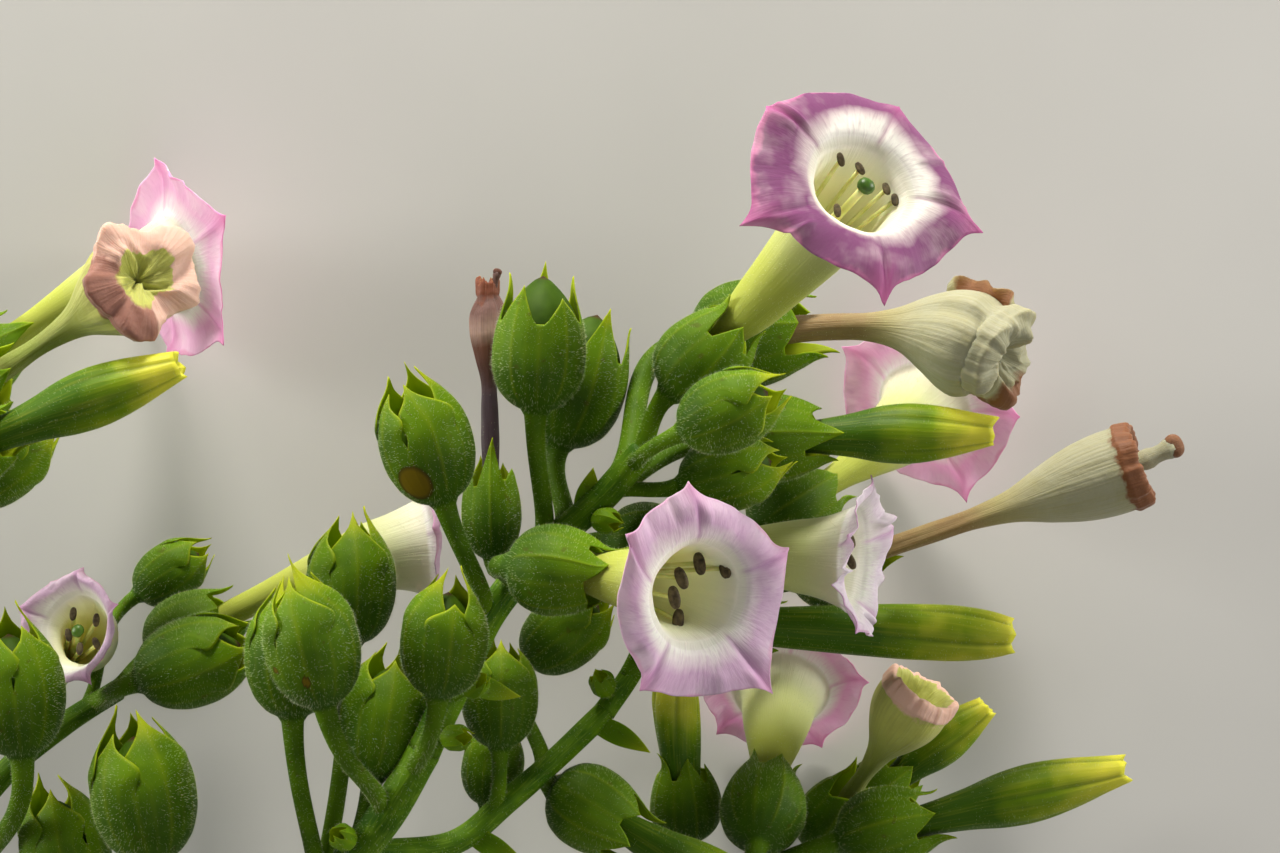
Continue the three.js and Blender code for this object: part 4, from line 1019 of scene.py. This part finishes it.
def green_stem(name, deep, stem, ridge, pith):
    """Green stem, grown and downy: a soft satin skin with paler ridges, and pale pith where it is cut."""
    tree, place, skin = new_tissue(name)
    patches = add_node(tree, "TexNoise", {"Vector": place, "Scale": grain(5), "Detail": 3.0})
    colour = add_node(tree, "ValToRGB", {"Fac": patches}, stops=[(0.35, deep), (0.65, stem)])
    # 40 streaks round a stem are four tenths of a millimetre apart, like the strings in its skin
    streaks = add_node(tree, "Mapping", {"Vector": skin, "Scale": (40.0, 12.0, 1.0)})
    streaks = add_node(tree, "TexNoise", {"Vector": streaks, "Scale": 1.0, "Detail": 3.0})
    share = add_node(tree, "MapRange", {0: streaks, 1: 0.5, 2: 0.75, 3: 0.0, 4: 0.5})
    colour = add_node(tree, "Mix", {0: share, 6: colour, 7: ridge}, 2, data_type="RGBA")
    cut = add_node(tree, "Attribute", {}, "Fac", attribute_name="tone")
    colour = add_node(tree, "Mix", {0: cut, 6: colour, 7: pith}, 2, data_type="RGBA")
    normal = add_node(tree, "Bump", {"Height": streaks, "Strength": 0.6, "Distance": 0.12 * MM})
    surface = add_node(tree, "BsdfPrincipled", {
        "Base Color": colour, "Normal": normal, "Roughness": 0.6, "IOR": 1.38, "Specular IOR Level": 0.2,
        "Sheen Weight": 0.25, "Sheen Roughness": 0.16, "Sheen Tint": linear("#C0CE6C"),
        "Subsurface Weight": 0.3, "Subsurface Radius": (0.8, 1.0, 0.2), "Subsurface Scale": 1.5 * MM})
    add_node(tree, "OutputMaterial", {"Surface": surface})


def capsule_skin(name, deep, green, point):
    """Seed capsule, grown and hard: a smooth, nearly matt green skin with a dry brown point."""
    tree, place, _ = new_tissue(name)
    patches = add_node(tree, "TexNoise", {"Vector": place, "Scale": grain(4), "Detail": 2.0})
    colour = add_node(tree, "ValToRGB", {"Fac": patches}, stops=[(0.35, deep), (0.7, green)])
    along = add_node(tree, "Attribute", {}, "Fac", attribute_name="tone")
    share = add_node(tree, "MapRange", {0: along, 1: 0.955, 2: 0.985})
    colour = add_node(tree, "Mix", {0: share, 6: colour, 7: point}, 2, data_type="RGBA")
    pores = add_node(tree, "TexNoise", {"Vector": place, "Scale": grain(0.6), "Detail": 2.0})
    normal = add_node(tree, "Bump", {"Height": pores, "Strength": 0.5, "Distance": 0.05 * MM})
    surface = add_node(tree, "BsdfPrincipled", {
        "Base Color": colour, "Normal": normal, "Roughness": 0.6, "IOR": 1.38, "Specular IOR Level": 0.2,
        "Subsurface Weight": 0.2, "Subsurface Radius": (0.7, 1.0, 0.1), "Subsurface Scale": 1.2 * MM})
    add_node(tree, "OutputMaterial", {"Surface": surface})


def small_part(name, low, high, lump, roughness, relief_mm, glow):
    """A small part's tissue, mottled between two near colours in lumps of so many millimetres."""
    tree, place, _ = new_tissue(name)
    lumps = add_node(tree, "TexNoise", {"Vector": place, "Scale": grain(lump), "Detail": 3.0})
    colour = add_node(tree, "ValToRGB", {"Fac": lumps}, stops=[(0.3, linear(low)), (0.7, linear(high))])
    pores = add_node(tree, "TexNoise", {"Vector": place, "Scale": grain(0.4 * lump), "Detail": 2.0})
    normal = add_node(tree, "Bump", {"Height": pores, "Strength": 0.6, "Distance": relief_mm * MM})
    surface = add_node(tree, "BsdfPrincipled", {
        "Base Color": colour, "Normal": normal, "Roughness": roughness, "IOR": 1.45,
        "Subsurface Weight": glow, "Subsurface Scale": 1.0 * MM})
    add_node(tree, "OutputMaterial", {"Surface": surface})


def make_materials(chosen):
    """All the head's materials, in the colours that its properties hold."""
    calyx_leaf("calyx_leaf", chosen.leaf_deep, chosen.leaf, chosen.leaf_tip)
    calyx_leaf("bract_leaf", chosen.leaf, chosen.stem, chosen.leaf_tip)
    open_petal("deep_petal", chosen.deep_petal, chosen.deep_edge, linear("#743468"), chosen.throat,
               linear("#DDE088"))
    open_petal("pink_petal", chosen.pink_petal, linear("#E07AB0"), linear("#DC90C0"), chosen.throat,
               linear("#B4BE98"))
    open_petal("pale_petal", chosen.pale_petal, chosen.pale_edge, linear("#A878A8"), chosen.throat,
               linear("#E2E284"))
    open_petal("white_petal", linear("#E6D2E4"), linear("#C890BE"), linear("#C08CBE"), chosen.throat,
               linear("#E2E294"))
    closed_petal("closed_petal", chosen.bud_foot, chosen.bud, chosen.bud_tip)
    cream = [(0.5, linear("#94784A")), (0.62, linear("#A49A68")), (0.76, chosen.withered)]
    withered_petal("cream_withered_petal", cream, linear("#9A945C"), chosen.rust, chosen.rust)
    brown = [(0.6, linear("#3E2A34")), (0.8, linear("#7E4C36")), (0.86, linear("#C8A494")),
             (0.95, linear("#6A463C"))]
    withered_petal("brown_withered_petal", brown, linear("#34201C"), linear("#7A3A14"), linear("#5A2A12"))
    fading = [(0.5, linear("#849234")), (0.85, linear("#BABC5C"))]
    withered_petal("fading_petal", fading, linear("#8E8A48"), chosen.fading, linear("#8A5646"))
    green_stem("green_stem", linear("#345A04"), chosen.stem, linear("#86A42C"), linear("#DDE3B8"))
    capsule_skin("capsule_skin", linear("#2E4A00"), linear("#46640A"), linear("#3E2A12"))
    # Stamens: stiff pale stalks, dull pollen bags and a sticky green knob that shines
    small_part("filament", "#BCC262", "#DADC94", 2, 0.5, 0.04, 0.3)
    small_part("anther", "#2A2012", "#685A3C", 0.7, 0.8, 0.12, 0.0)
    small_part("stigma", "#2A4A0C", "#4A7214", 1, 0.4, 0.03, 0.1)
    # Gland hairs: clear and moist, so pale and glossy
    small_part("gland_hair", "#C8D494", "#E0E8B8", 2, 0.35, 0.0, 0.4)
    # Floor: matt painted board
    small_part("pale_floor", "#CFCECB", "#D4D3D0", 60, 0.8, 0.0, 0.0)


# Operators: one for each group of like pieces

def grow_calyx(name, bloom, spine, rng, nodes, **given):
    """A bloom's calyx and stalk."""
    size = bloom.get("size", 1)
    form = calyx_form(size, rng, **{**given, **bloom.get("form", {})})
    piece = piece_of(calyx_grid(spine, size, form, rng), f"{name}_cup", "calyx_leaf", nodes)
    HAIRY.append((piece, HAIR_DENSITY["calyx"]))


class HEAD_OT_materials(bpy.types.Operator):
    """Make the materials of the head's tissues"""
    bl_idname = "flower_head.materials"
    bl_label = "Materials"

    def execute(self, context):
        make_materials(context.scene.flower_head_colours)
        return {"FINISHED"}


class HEAD_OT_stems(bpy.types.Operator):
    """Grow the stalk, its axes and its branches"""
    bl_idname = "flower_head.stems"
    bl_label = "Stems"

    def execute(self, context):
        spines = grow_stem_spines()
        for name, stem in STEMS.items():
            grid = stem_grid(spines[name], stem["foot"], stem["tip"], seeded(name))
            piece = piece_of(grid, f"{name}_skin", "green_stem", [name])
            HAIRY.append((piece, HAIR_DENSITY["stem"]))
        return {"FINISHED"}


class HEAD_OT_sprouts(bpy.types.Operator):
    """Add the small leaves and the tiny buds on the stems"""
    bl_idname = "flower_head.sprouts"
    bl_label = "Bracts and Young Buds"

    def execute(self, context):
        spines = grow_stem_spines()
        leaves, buds = bmesh.new(), bmesh.new()
        for number, sprout in enumerate(BRACTS + YOUNG_BUDS):
            stem = spines[sprout["on"]]
            foot = stem.sections(sprout["at"] * stem.length)[0]
            tip = spot(sprout["tip"])
            rng = seeded(f"sprout{number}")
            if sprout in BRACTS:
                points, layers = bract_grid(foot, tip, rng)
                add_grid(leaves, points, **layers)
            else:
                middle = (foot + tip) / 2 + np.array([0, 0, 0.6])
                spine = Spine(bezier(foot, middle, middle, tip), start=4.6 - np.linalg.norm(tip - foot))
                form = calyx_form(YOUNG_BUD, rng, shape="closed", notch=8.0, tip=11.4, belly=4.2,
                                  flare=0.4, steps=4)
                points, layers = calyx_grid(spine, YOUNG_BUD, form, rng)
                add_grid(buds, points, **layers)
        for bm, name in ((leaves, "bracts"), (buds, "young_buds")):
            piece = finish_piece(bm, name, MATERIALS["bract_leaf"])
            HAIRY.append((piece, HAIR_DENSITY["sprout"]))
        return {"FINISHED"}


class HEAD_OT_open_flowers(bpy.types.Operator):
    """Grow the open trumpet flowers with their calyces"""
    bl_idname = "flower_head.open_flowers"
    bl_label = "Open Flowers"

    def execute(self, context):
        stems = grow_stem_spines()
        for name, flower in OPEN_FLOWERS.items():
            spine = bloom_spine(flower, stems)
            rng = seeded(name)
            grow_calyx(name, flower, spine, rng, [f"{name}_calyx"], flare=1.2)
            grid = corolla_grid(spine, flower, rng)
            piece = piece_of(grid, f"{name}_trumpet", flower["tint"] + "_petal", [f"{name}_corolla"])
            HAIRY.append((piece, HAIR_DENSITY["petal"]))
        return {"FINISHED"}


ANTHERS_LIE = np.array([0.25, -1.0, 0.3])  # the pollen heads lie roughly along this direction


class HEAD_OT_stamens(bpy.types.Operator):
    """Stand five stamens and a style in each open flower"""
    bl_idname = "flower_head.stamens"
    bl_label = "Stamens and Styles"

    def execute(self, context):
        stems = grow_stem_spines()
        for name, flower in OPEN_FLOWERS.items():
            grow_stamens(name, flower, bloom_spine(flower, stems), seeded(name + "stamens"))
        return {"FINISHED"}


def grow_stamens(name, flower, spine, rng):
    """A flower's filaments, anthers and style: a head has a radius, a direction and a height at the mouth."""
    size = flower.get("size", 1)
    mouth = spine.length
    cup = flower.get("cup", sizes().cup_length) * size
    turn = turn_to(spine, flower["lobe"])
    even = [(rng.uniform(2.6, 3.9), 72 * number + rng.uniform(20, 52), rng.uniform(-3, -0.6))
            for number in range(LOBES)]
    threads, heads, tops = bmesh.new(), bmesh.new(), bmesh.new()
    root = spine.sections(mouth - cup - 0.6)[0]
    grown = flower.get("anther", 1) * size
    for radius, degrees, height in flower.get("heads", even):
        centre, ahead, side, other = spine.sections(mouth + height)
        round_ = turn + math.radians(degrees)
        out = side * math.cos(round_) + other * math.sin(round_)
        head = centre + out * radius * size
        add_grid(threads, rod_grid(root + 0.8 * size * out, head, 0.3, rng.uniform(-0.3, 0.3)))
        tilt = ANTHERS_LIE + 0.4 * rng.uniform(-1, 1, 3)
        add_grid(heads, blob_grid(head + 0.3 * ahead, tilt, 1.2 * grown, 0.62 * grown, 0.5))
    radius, degrees, height = flower.get("stigma", (0.5, 60, -1.0))
    centre, ahead, side, other = spine.sections(mouth + height)
    round_ = turn + math.radians(degrees)
    top = centre + radius * (side * math.cos(round_) + other * math.sin(round_))
    add_grid(tops, blob_grid(top, ahead, 0.9 * size, 1.2 * size, 0.12))
    add_grid(threads, rod_grid(root, top, 0.55))
    finish_piece(threads, f"{name}_filaments", MATERIALS["filament"])
    finish_piece(heads, f"{name}_anthers", MATERIALS["anther"])
    finish_piece(tops, f"{name}_stigma", MATERIALS["stigma"])


class HEAD_OT_withered_flowers(bpy.types.Operator):
    """Grow the withered flowers with their calyces"""
    bl_idname = "flower_head.withered_flowers"
    bl_label = "Withered Flowers"

    def execute(self, context):
        stems = grow_stem_spines()
        for name, flower in WITHERED_FLOWERS.items():
            spine = bloom_spine(flower, stems)
            rng = seeded(name)
            material = WITHERED_LOOKS[flower["look"]]
            grow_calyx(name, flower, spine, rng, [name])
            grid = withered_grid(spine, flower, rng)
            piece = piece_of(grid, f"{name}_trumpet", material, [name])
            HAIRY.append((piece, HAIR_DENSITY["withered"]))
            shreds = bmesh.new()
            for back, *shape in flower.get("flaps", ()):
                points, layers = flap_grid(spine, spine.length - back, *shape, rng)
                add_grid(shreds, points, **layers)
            if "style" in flower:
                *tip, thick = flower["style"]
                foot, tip = spine.sections(spine.length - 1)[0], spot(tip)
                girth = thick * (1 + 0.15 * np.sin(np.arange(10) * 1.7))
                rod = rod_grid(foot, tip, girth, 0.2, columns=12)
                knob = blob_grid(tip, tip - foot, thick, 1.3 * thick, 0.3)
                add_grid(shreds, rod, tone=1.0, rim=0.0, burnt=0.0)
                add_grid(shreds, knob, tone=1.0, rim=0.0, burnt=1.0)
            if shreds.verts:
                finish_piece(shreds, f"{name}_shreds", MATERIALS[material])
            else:
                shreds.free()
        return {"FINISHED"}


class HEAD_OT_buds(bpy.types.Operator):
    """Grow the closed buds with their calyces"""
    bl_idname = "flower_head.buds"
    bl_label = "Buds"

    def execute(self, context):
        stems = grow_stem_spines()
        for name, bud in BUDS.items():
            spine = bloom_spine(bud, stems)
            rng = seeded(name)
            grow_calyx(name, bud, spine, rng, [name])
            piece = piece_of(bud_grid(spine, bud, rng), f"{name}_petals", "closed_petal", [name])
            HAIRY.append((piece, HAIR_DENSITY["petal"]))
        return {"FINISHED"}


class HEAD_OT_capsules(bpy.types.Operator):
    """Grow the seed capsules in their calyces"""
    bl_idname = "flower_head.capsules"
    bl_label = "Seed Capsules"

    def execute(self, context):
        stems = grow_stem_spines()
        for name, capsule in CAPSULES.items():
            spine = bloom_spine(capsule, stems)
            rng = seeded(name)
            grow_calyx(name, capsule, spine, rng, [name], shape="closed", notch=9.6, tip=18.6, belly=6.1,
                       flare=0.8, width=1.0, bulge=0.78, spike=0.10, keel=0.04, spread=1.2, lap=0.45,
                       least=0.88, steps=9, light=0.85)
            grid = capsule_grid(spine, capsule.get("size", 1) * capsule.get("seed", 0.92), rng)
            piece_of(grid, f"{name}_seed", "capsule_skin", [name])
        return {"FINISHED"}


class HEAD_OT_hairs(bpy.types.Operator):
    """Cover calyces, tubes and stems with short gland hairs"""
    bl_idname = "flower_head.hairs"
    bl_label = "Gland Hairs"

    def execute(self, context):
        kept = sizes()
        if context.scene.flower_head.hairs:
            lines = [hair_lines(piece, density, kept, seeded(piece.name)) for piece, density in HAIRY]
            feet, tips = (np.concatenate(ends) for ends in zip(*lines))
            for number, first in enumerate(range(0, len(feet), HAIRS_IN_A_PIECE), 1):
                some = slice(first, first + HAIRS_IN_A_PIECE)
                hair_piece(f"gland_hairs_{number}", feet[some], tips[some], kept)
        return {"FINISHED"}


def hair_lines(piece, density, kept, rng):
    """Feet and tips of hairs spread over the hairy faces of a piece, in millimetres."""
    mesh = piece.data
    mesh.calc_loop_triangles()
    count = len(mesh.loop_triangles)
    corners, normals, areas = np.empty(count * 3, int), np.empty(count * 3), np.empty(count)
    mesh.loop_triangles.foreach_get("vertices", corners)
    mesh.loop_triangles.foreach_get("normal", normals)
    mesh.loop_triangles.foreach_get("area", areas)
    places, hairy = np.empty(len(mesh.vertices) * 3), np.empty(len(mesh.vertices))
    mesh.vertices.foreach_get("co", places)
    mesh.attributes["hairy"].data.foreach_get("value", hairy)
    corners = corners.reshape(-1, 3)
    number = rng.poisson(areas / MM ** 2 * density * (hairy[corners].min(1) > 0.5))
    corners = np.repeat(places.reshape(-1, 3)[corners] / MM, number, 0)
    normals = np.repeat(normals.reshape(-1, 3), number, 0)
    share = rng.dirichlet((1, 1, 1), len(corners))
    feet = (corners * share[..., None]).sum(1)
    lengths = kept.hair_length * rng.uniform(0.5, 1.1, (len(feet), 1))
    tips = feet + unit(normals + 0.06 * rng.normal(size=feet.shape)) * lengths
    return feet - 0.06 * normals, tips


def hair_piece(name, feet, tips, kept):
    """Hairs as closed three-sided spikes, joined in one mesh."""
    along = unit(tips - feet)
    side = unit(np.cross(along, np.array([0.31, 0.55, 0.78])))
    other = np.cross(along, side)
    corners = [feet + kept.hair_radius * (side * math.cos(turn) + other * math.sin(turn))
               for turn in (0, 2 * math.pi / 3, 4 * math.pi / 3)]
    vertices = np.stack([*corners, tips], 1).reshape(-1, 3) * MM
    pattern = np.array([(0, 2, 1), (0, 1, 3), (1, 2, 3), (2, 0, 3)])
    faces = (np.arange(len(feet))[:, None, None] * 4 + pattern).reshape(-1, 3)
    mesh = bpy.data.meshes.new(name)
    mesh.from_pydata(vertices.tolist(), [], faces.tolist())
    mesh.materials.append(MATERIALS["gland_hair"])
    piece = bpy.data.objects.new(name, mesh)
    bpy.context.scene.collection.objects.link(piece)
    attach(piece, "root")


# Lamps: place and side in metres, power in watts, and colour. All face one point of the head.
LAMPS = {
    "key_lamp": ((-0.12, 0.95, 0.24), 0.25, 12.0, "#FFFAF0"),
    "left_lamp": ((-0.85, 0.3, 0.16), 0.3, 6.0, "#FFFCF6"),
    "right_lamp": ((0.9, 0.4, 0.16), 0.3, 6.0, "#FFFCF6"),
    "fill_lamp": ((0.45, -0.35, 0.9), 0.9, 2.6, "#FBFAF6"),
}
LAMPS_FACE = Vector((0.02, 0.03, 0.04))
FLOOR_HALF = 3.0  # half the floor's side, in metres
SKY_COLOUR = "#F0EEEA"
SKY_STRENGTH = 0.17


class HEAD_OT_stage(bpy.types.Operator):
    """Set a pale floor, soft light and a camera straight above the head"""
    bl_idname = "flower_head.stage"
    bl_label = "Stage"

    def execute(self, context):
        scene = context.scene
        bm = bmesh.new()
        bmesh.ops.create_grid(bm, x_segments=1, y_segments=1, size=FLOOR_HALF)
        mesh = bpy.data.meshes.new("floor")
        bm.to_mesh(mesh)
        bm.free()
        mesh.materials.append(MATERIALS["pale_floor"])
        floor = bpy.data.objects.new("floor", mesh)
        scene.collection.objects.link(floor)
        for name, lamp in LAMPS.items():
            add_lamp(name, *lamp)
        world = bpy.data.worlds.new("studio")
        world.use_nodes = True
        background = world.node_tree.nodes["Background"]
        background.inputs["Color"].default_value = linear(SKY_COLOUR)
        background.inputs["Strength"].default_value = SKY_STRENGTH
        scene.world = world
        scene.view_settings.view_transform = "Standard"
        camera = bpy.data.cameras.new("camera")
        camera.lens = 100
        camera.sensor_width = 36
        camera.clip_start = 0.01
        eye = bpy.data.objects.new("camera", camera)
        eye.location = (-MIDDLE[0] * MM, -MIDDLE[1] * MM, (GROUND + VIEW_HEIGHT) * MM)
        scene.collection.objects.link(eye)
        scene.camera = eye
        return {"FINISHED"}


def add_lamp(name, place, side, power, colour):
    """A soft square lamp that faces the head."""
    light = bpy.data.lights.new(name, "AREA")
    light.size = side
    light.energy = power
    light.color = linear(colour)[:3]
    lamp = bpy.data.objects.new(name, light)
    lamp.location = place
    aim = LAMPS_FACE - Vector(place)
    lamp.rotation_euler = aim.to_track_quat("-Z", "Y").to_euler()
    bpy.context.scene.collection.objects.link(lamp)


OPERATORS = (HEAD_OT_materials, HEAD_OT_stage, HEAD_OT_stems, HEAD_OT_sprouts, HEAD_OT_open_flowers,
             HEAD_OT_stamens, HEAD_OT_withered_flowers, HEAD_OT_buds, HEAD_OT_capsules, HEAD_OT_hairs)


# Sizes and colours that a user would change

def length_property(name, description, millimetres):
    return bpy.props.FloatProperty(name=name, description=description, default=millimetres * MM, min=0.0,
                                   precision=5, unit="LENGTH")


def colour_property(name, description, code):
    return bpy.props.FloatVectorProperty(name=name, description=description, default=linear(code), size=4,
                                         min=0.0, max=1.0, subtype="COLOR")


class FlowerHeadSizes(bpy.types.PropertyGroup):
    """Sizes that the whole head shares"""
    stalk_radius: length_property("Stalk radius", "Radius of a bloom's stalk", 1.3)
    calyx_radius: length_property("Calyx radius", "Radius of a calyx at its belly", 5.9)
    calyx_body: length_property("Calyx body", "From the stalk to the notches between the teeth", 11.5)
    cup_radius: length_property("Cup radius", "Radius of a flower's throat", 6.0)
    cup_length: length_property("Cup length", "Length of the wide part of a flower", 16.0)
    limb_radius: length_property("Rim radius", "Radius of the spread rim at the tips of its lobes", 16.4)
    petal: length_property("Petal", "Thickness of a petal near the throat", 0.4)
    capsule_length: length_property("Capsule length", "Length of a seed capsule", 16.6)
    hair_length: length_property("Hair length", "Length of the longest gland hairs", 0.42)
    hair_radius: length_property("Hair radius", "Radius of a gland hair, a little over the real one", 0.017)
    hairs: bpy.props.BoolProperty(name="Hairs", description="Cover the head with gland hairs", default=True)


class FlowerHeadColours(bpy.types.PropertyGroup):
    """Colours of the head's main tissues"""
    leaf_deep: colour_property("Deep leaf", "Calyx low down and in its darker patches", "#365600")
    leaf: colour_property("Leaf", "Calyx high up and in its lighter patches", "#5C7E00")
    leaf_tip: colour_property("Leaf tip", "Veins and teeth of the calyx", "#B0B818")
    stem: colour_property("Stem", "Stems and branches", "#587C06")
    deep_petal: colour_property("Deep petal", "Rim of the deepest flowers", "#77426C")
    deep_edge: colour_property("Deep petal edge", "Edge of the deepest flowers", "#B85C92")
    pink_petal: colour_property("Pink petal", "Rim of the pink flowers", "#EEB0D4")
    pale_petal: colour_property("Pale petal", "Rim of the paler flowers", "#CBAAC6")
    pale_edge: colour_property("Pale petal edge", "Edge of the paler flowers", "#C88CB2")
    throat: colour_property("Throat", "Ring round a flower's mouth", "#F2EDE4")
    bud_foot: colour_property("Bud foot", "Closed petals near the calyx", "#406404")
    bud: colour_property("Bud", "Closed petals", "#728E06")
    bud_tip: colour_property("Bud tip", "Folded tips of closed petals", "#D2CE40")
    withered: colour_property("Withered cup", "Dry cup of a withered flower", "#A8A688")
    rust: colour_property("Rust", "Shrivelled rim of a dry flower", "#7A4216")
    fading: colour_property("Fading rim", "Rim of a flower that has just withered", "#E2B6A6")


class HEAD_PT_panel(bpy.types.Panel):
    """Lists the sizes, colours and pieces of the flower head"""
    bl_idname = "HEAD_PT_panel"
    bl_label = "Flower Head"
    bl_space_type = "VIEW_3D"
    bl_region_type = "UI"
    bl_category = "Flower Head"

    def draw(self, context):
        layout = self.layout
        for group in (context.scene.flower_head, context.scene.flower_head_colours):
            for name in group.__annotations__:
                layout.prop(group, name)
        for operator in OPERATORS:
            layout.operator(operator.bl_idname)


CLASSES = (FlowerHeadSizes, FlowerHeadColours, *OPERATORS, HEAD_PT_panel)


def register():
    for cls in CLASSES:
        bpy.utils.register_class(cls)
    bpy.types.Scene.flower_head = bpy.props.PointerProperty(type=FlowerHeadSizes)
    bpy.types.Scene.flower_head_colours = bpy.props.PointerProperty(type=FlowerHeadColours)


def unregister():
    del bpy.types.Scene.flower_head_colours
    del bpy.types.Scene.flower_head
    for cls in reversed(CLASSES):
        bpy.utils.unregister_class(cls)


def main():
    register()
    bpy.ops.flower_head.materials()
    bpy.ops.flower_head.stage()
    bpy.ops.flower_head.stems()
    bpy.ops.flower_head.sprouts()
    bpy.ops.flower_head.open_flowers()
    bpy.ops.flower_head.stamens()
    bpy.ops.flower_head.withered_flowers()
    bpy.ops.flower_head.buds()
    bpy.ops.flower_head.capsules()
    bpy.ops.flower_head.hairs()


if __name__ == "__main__":
    main()
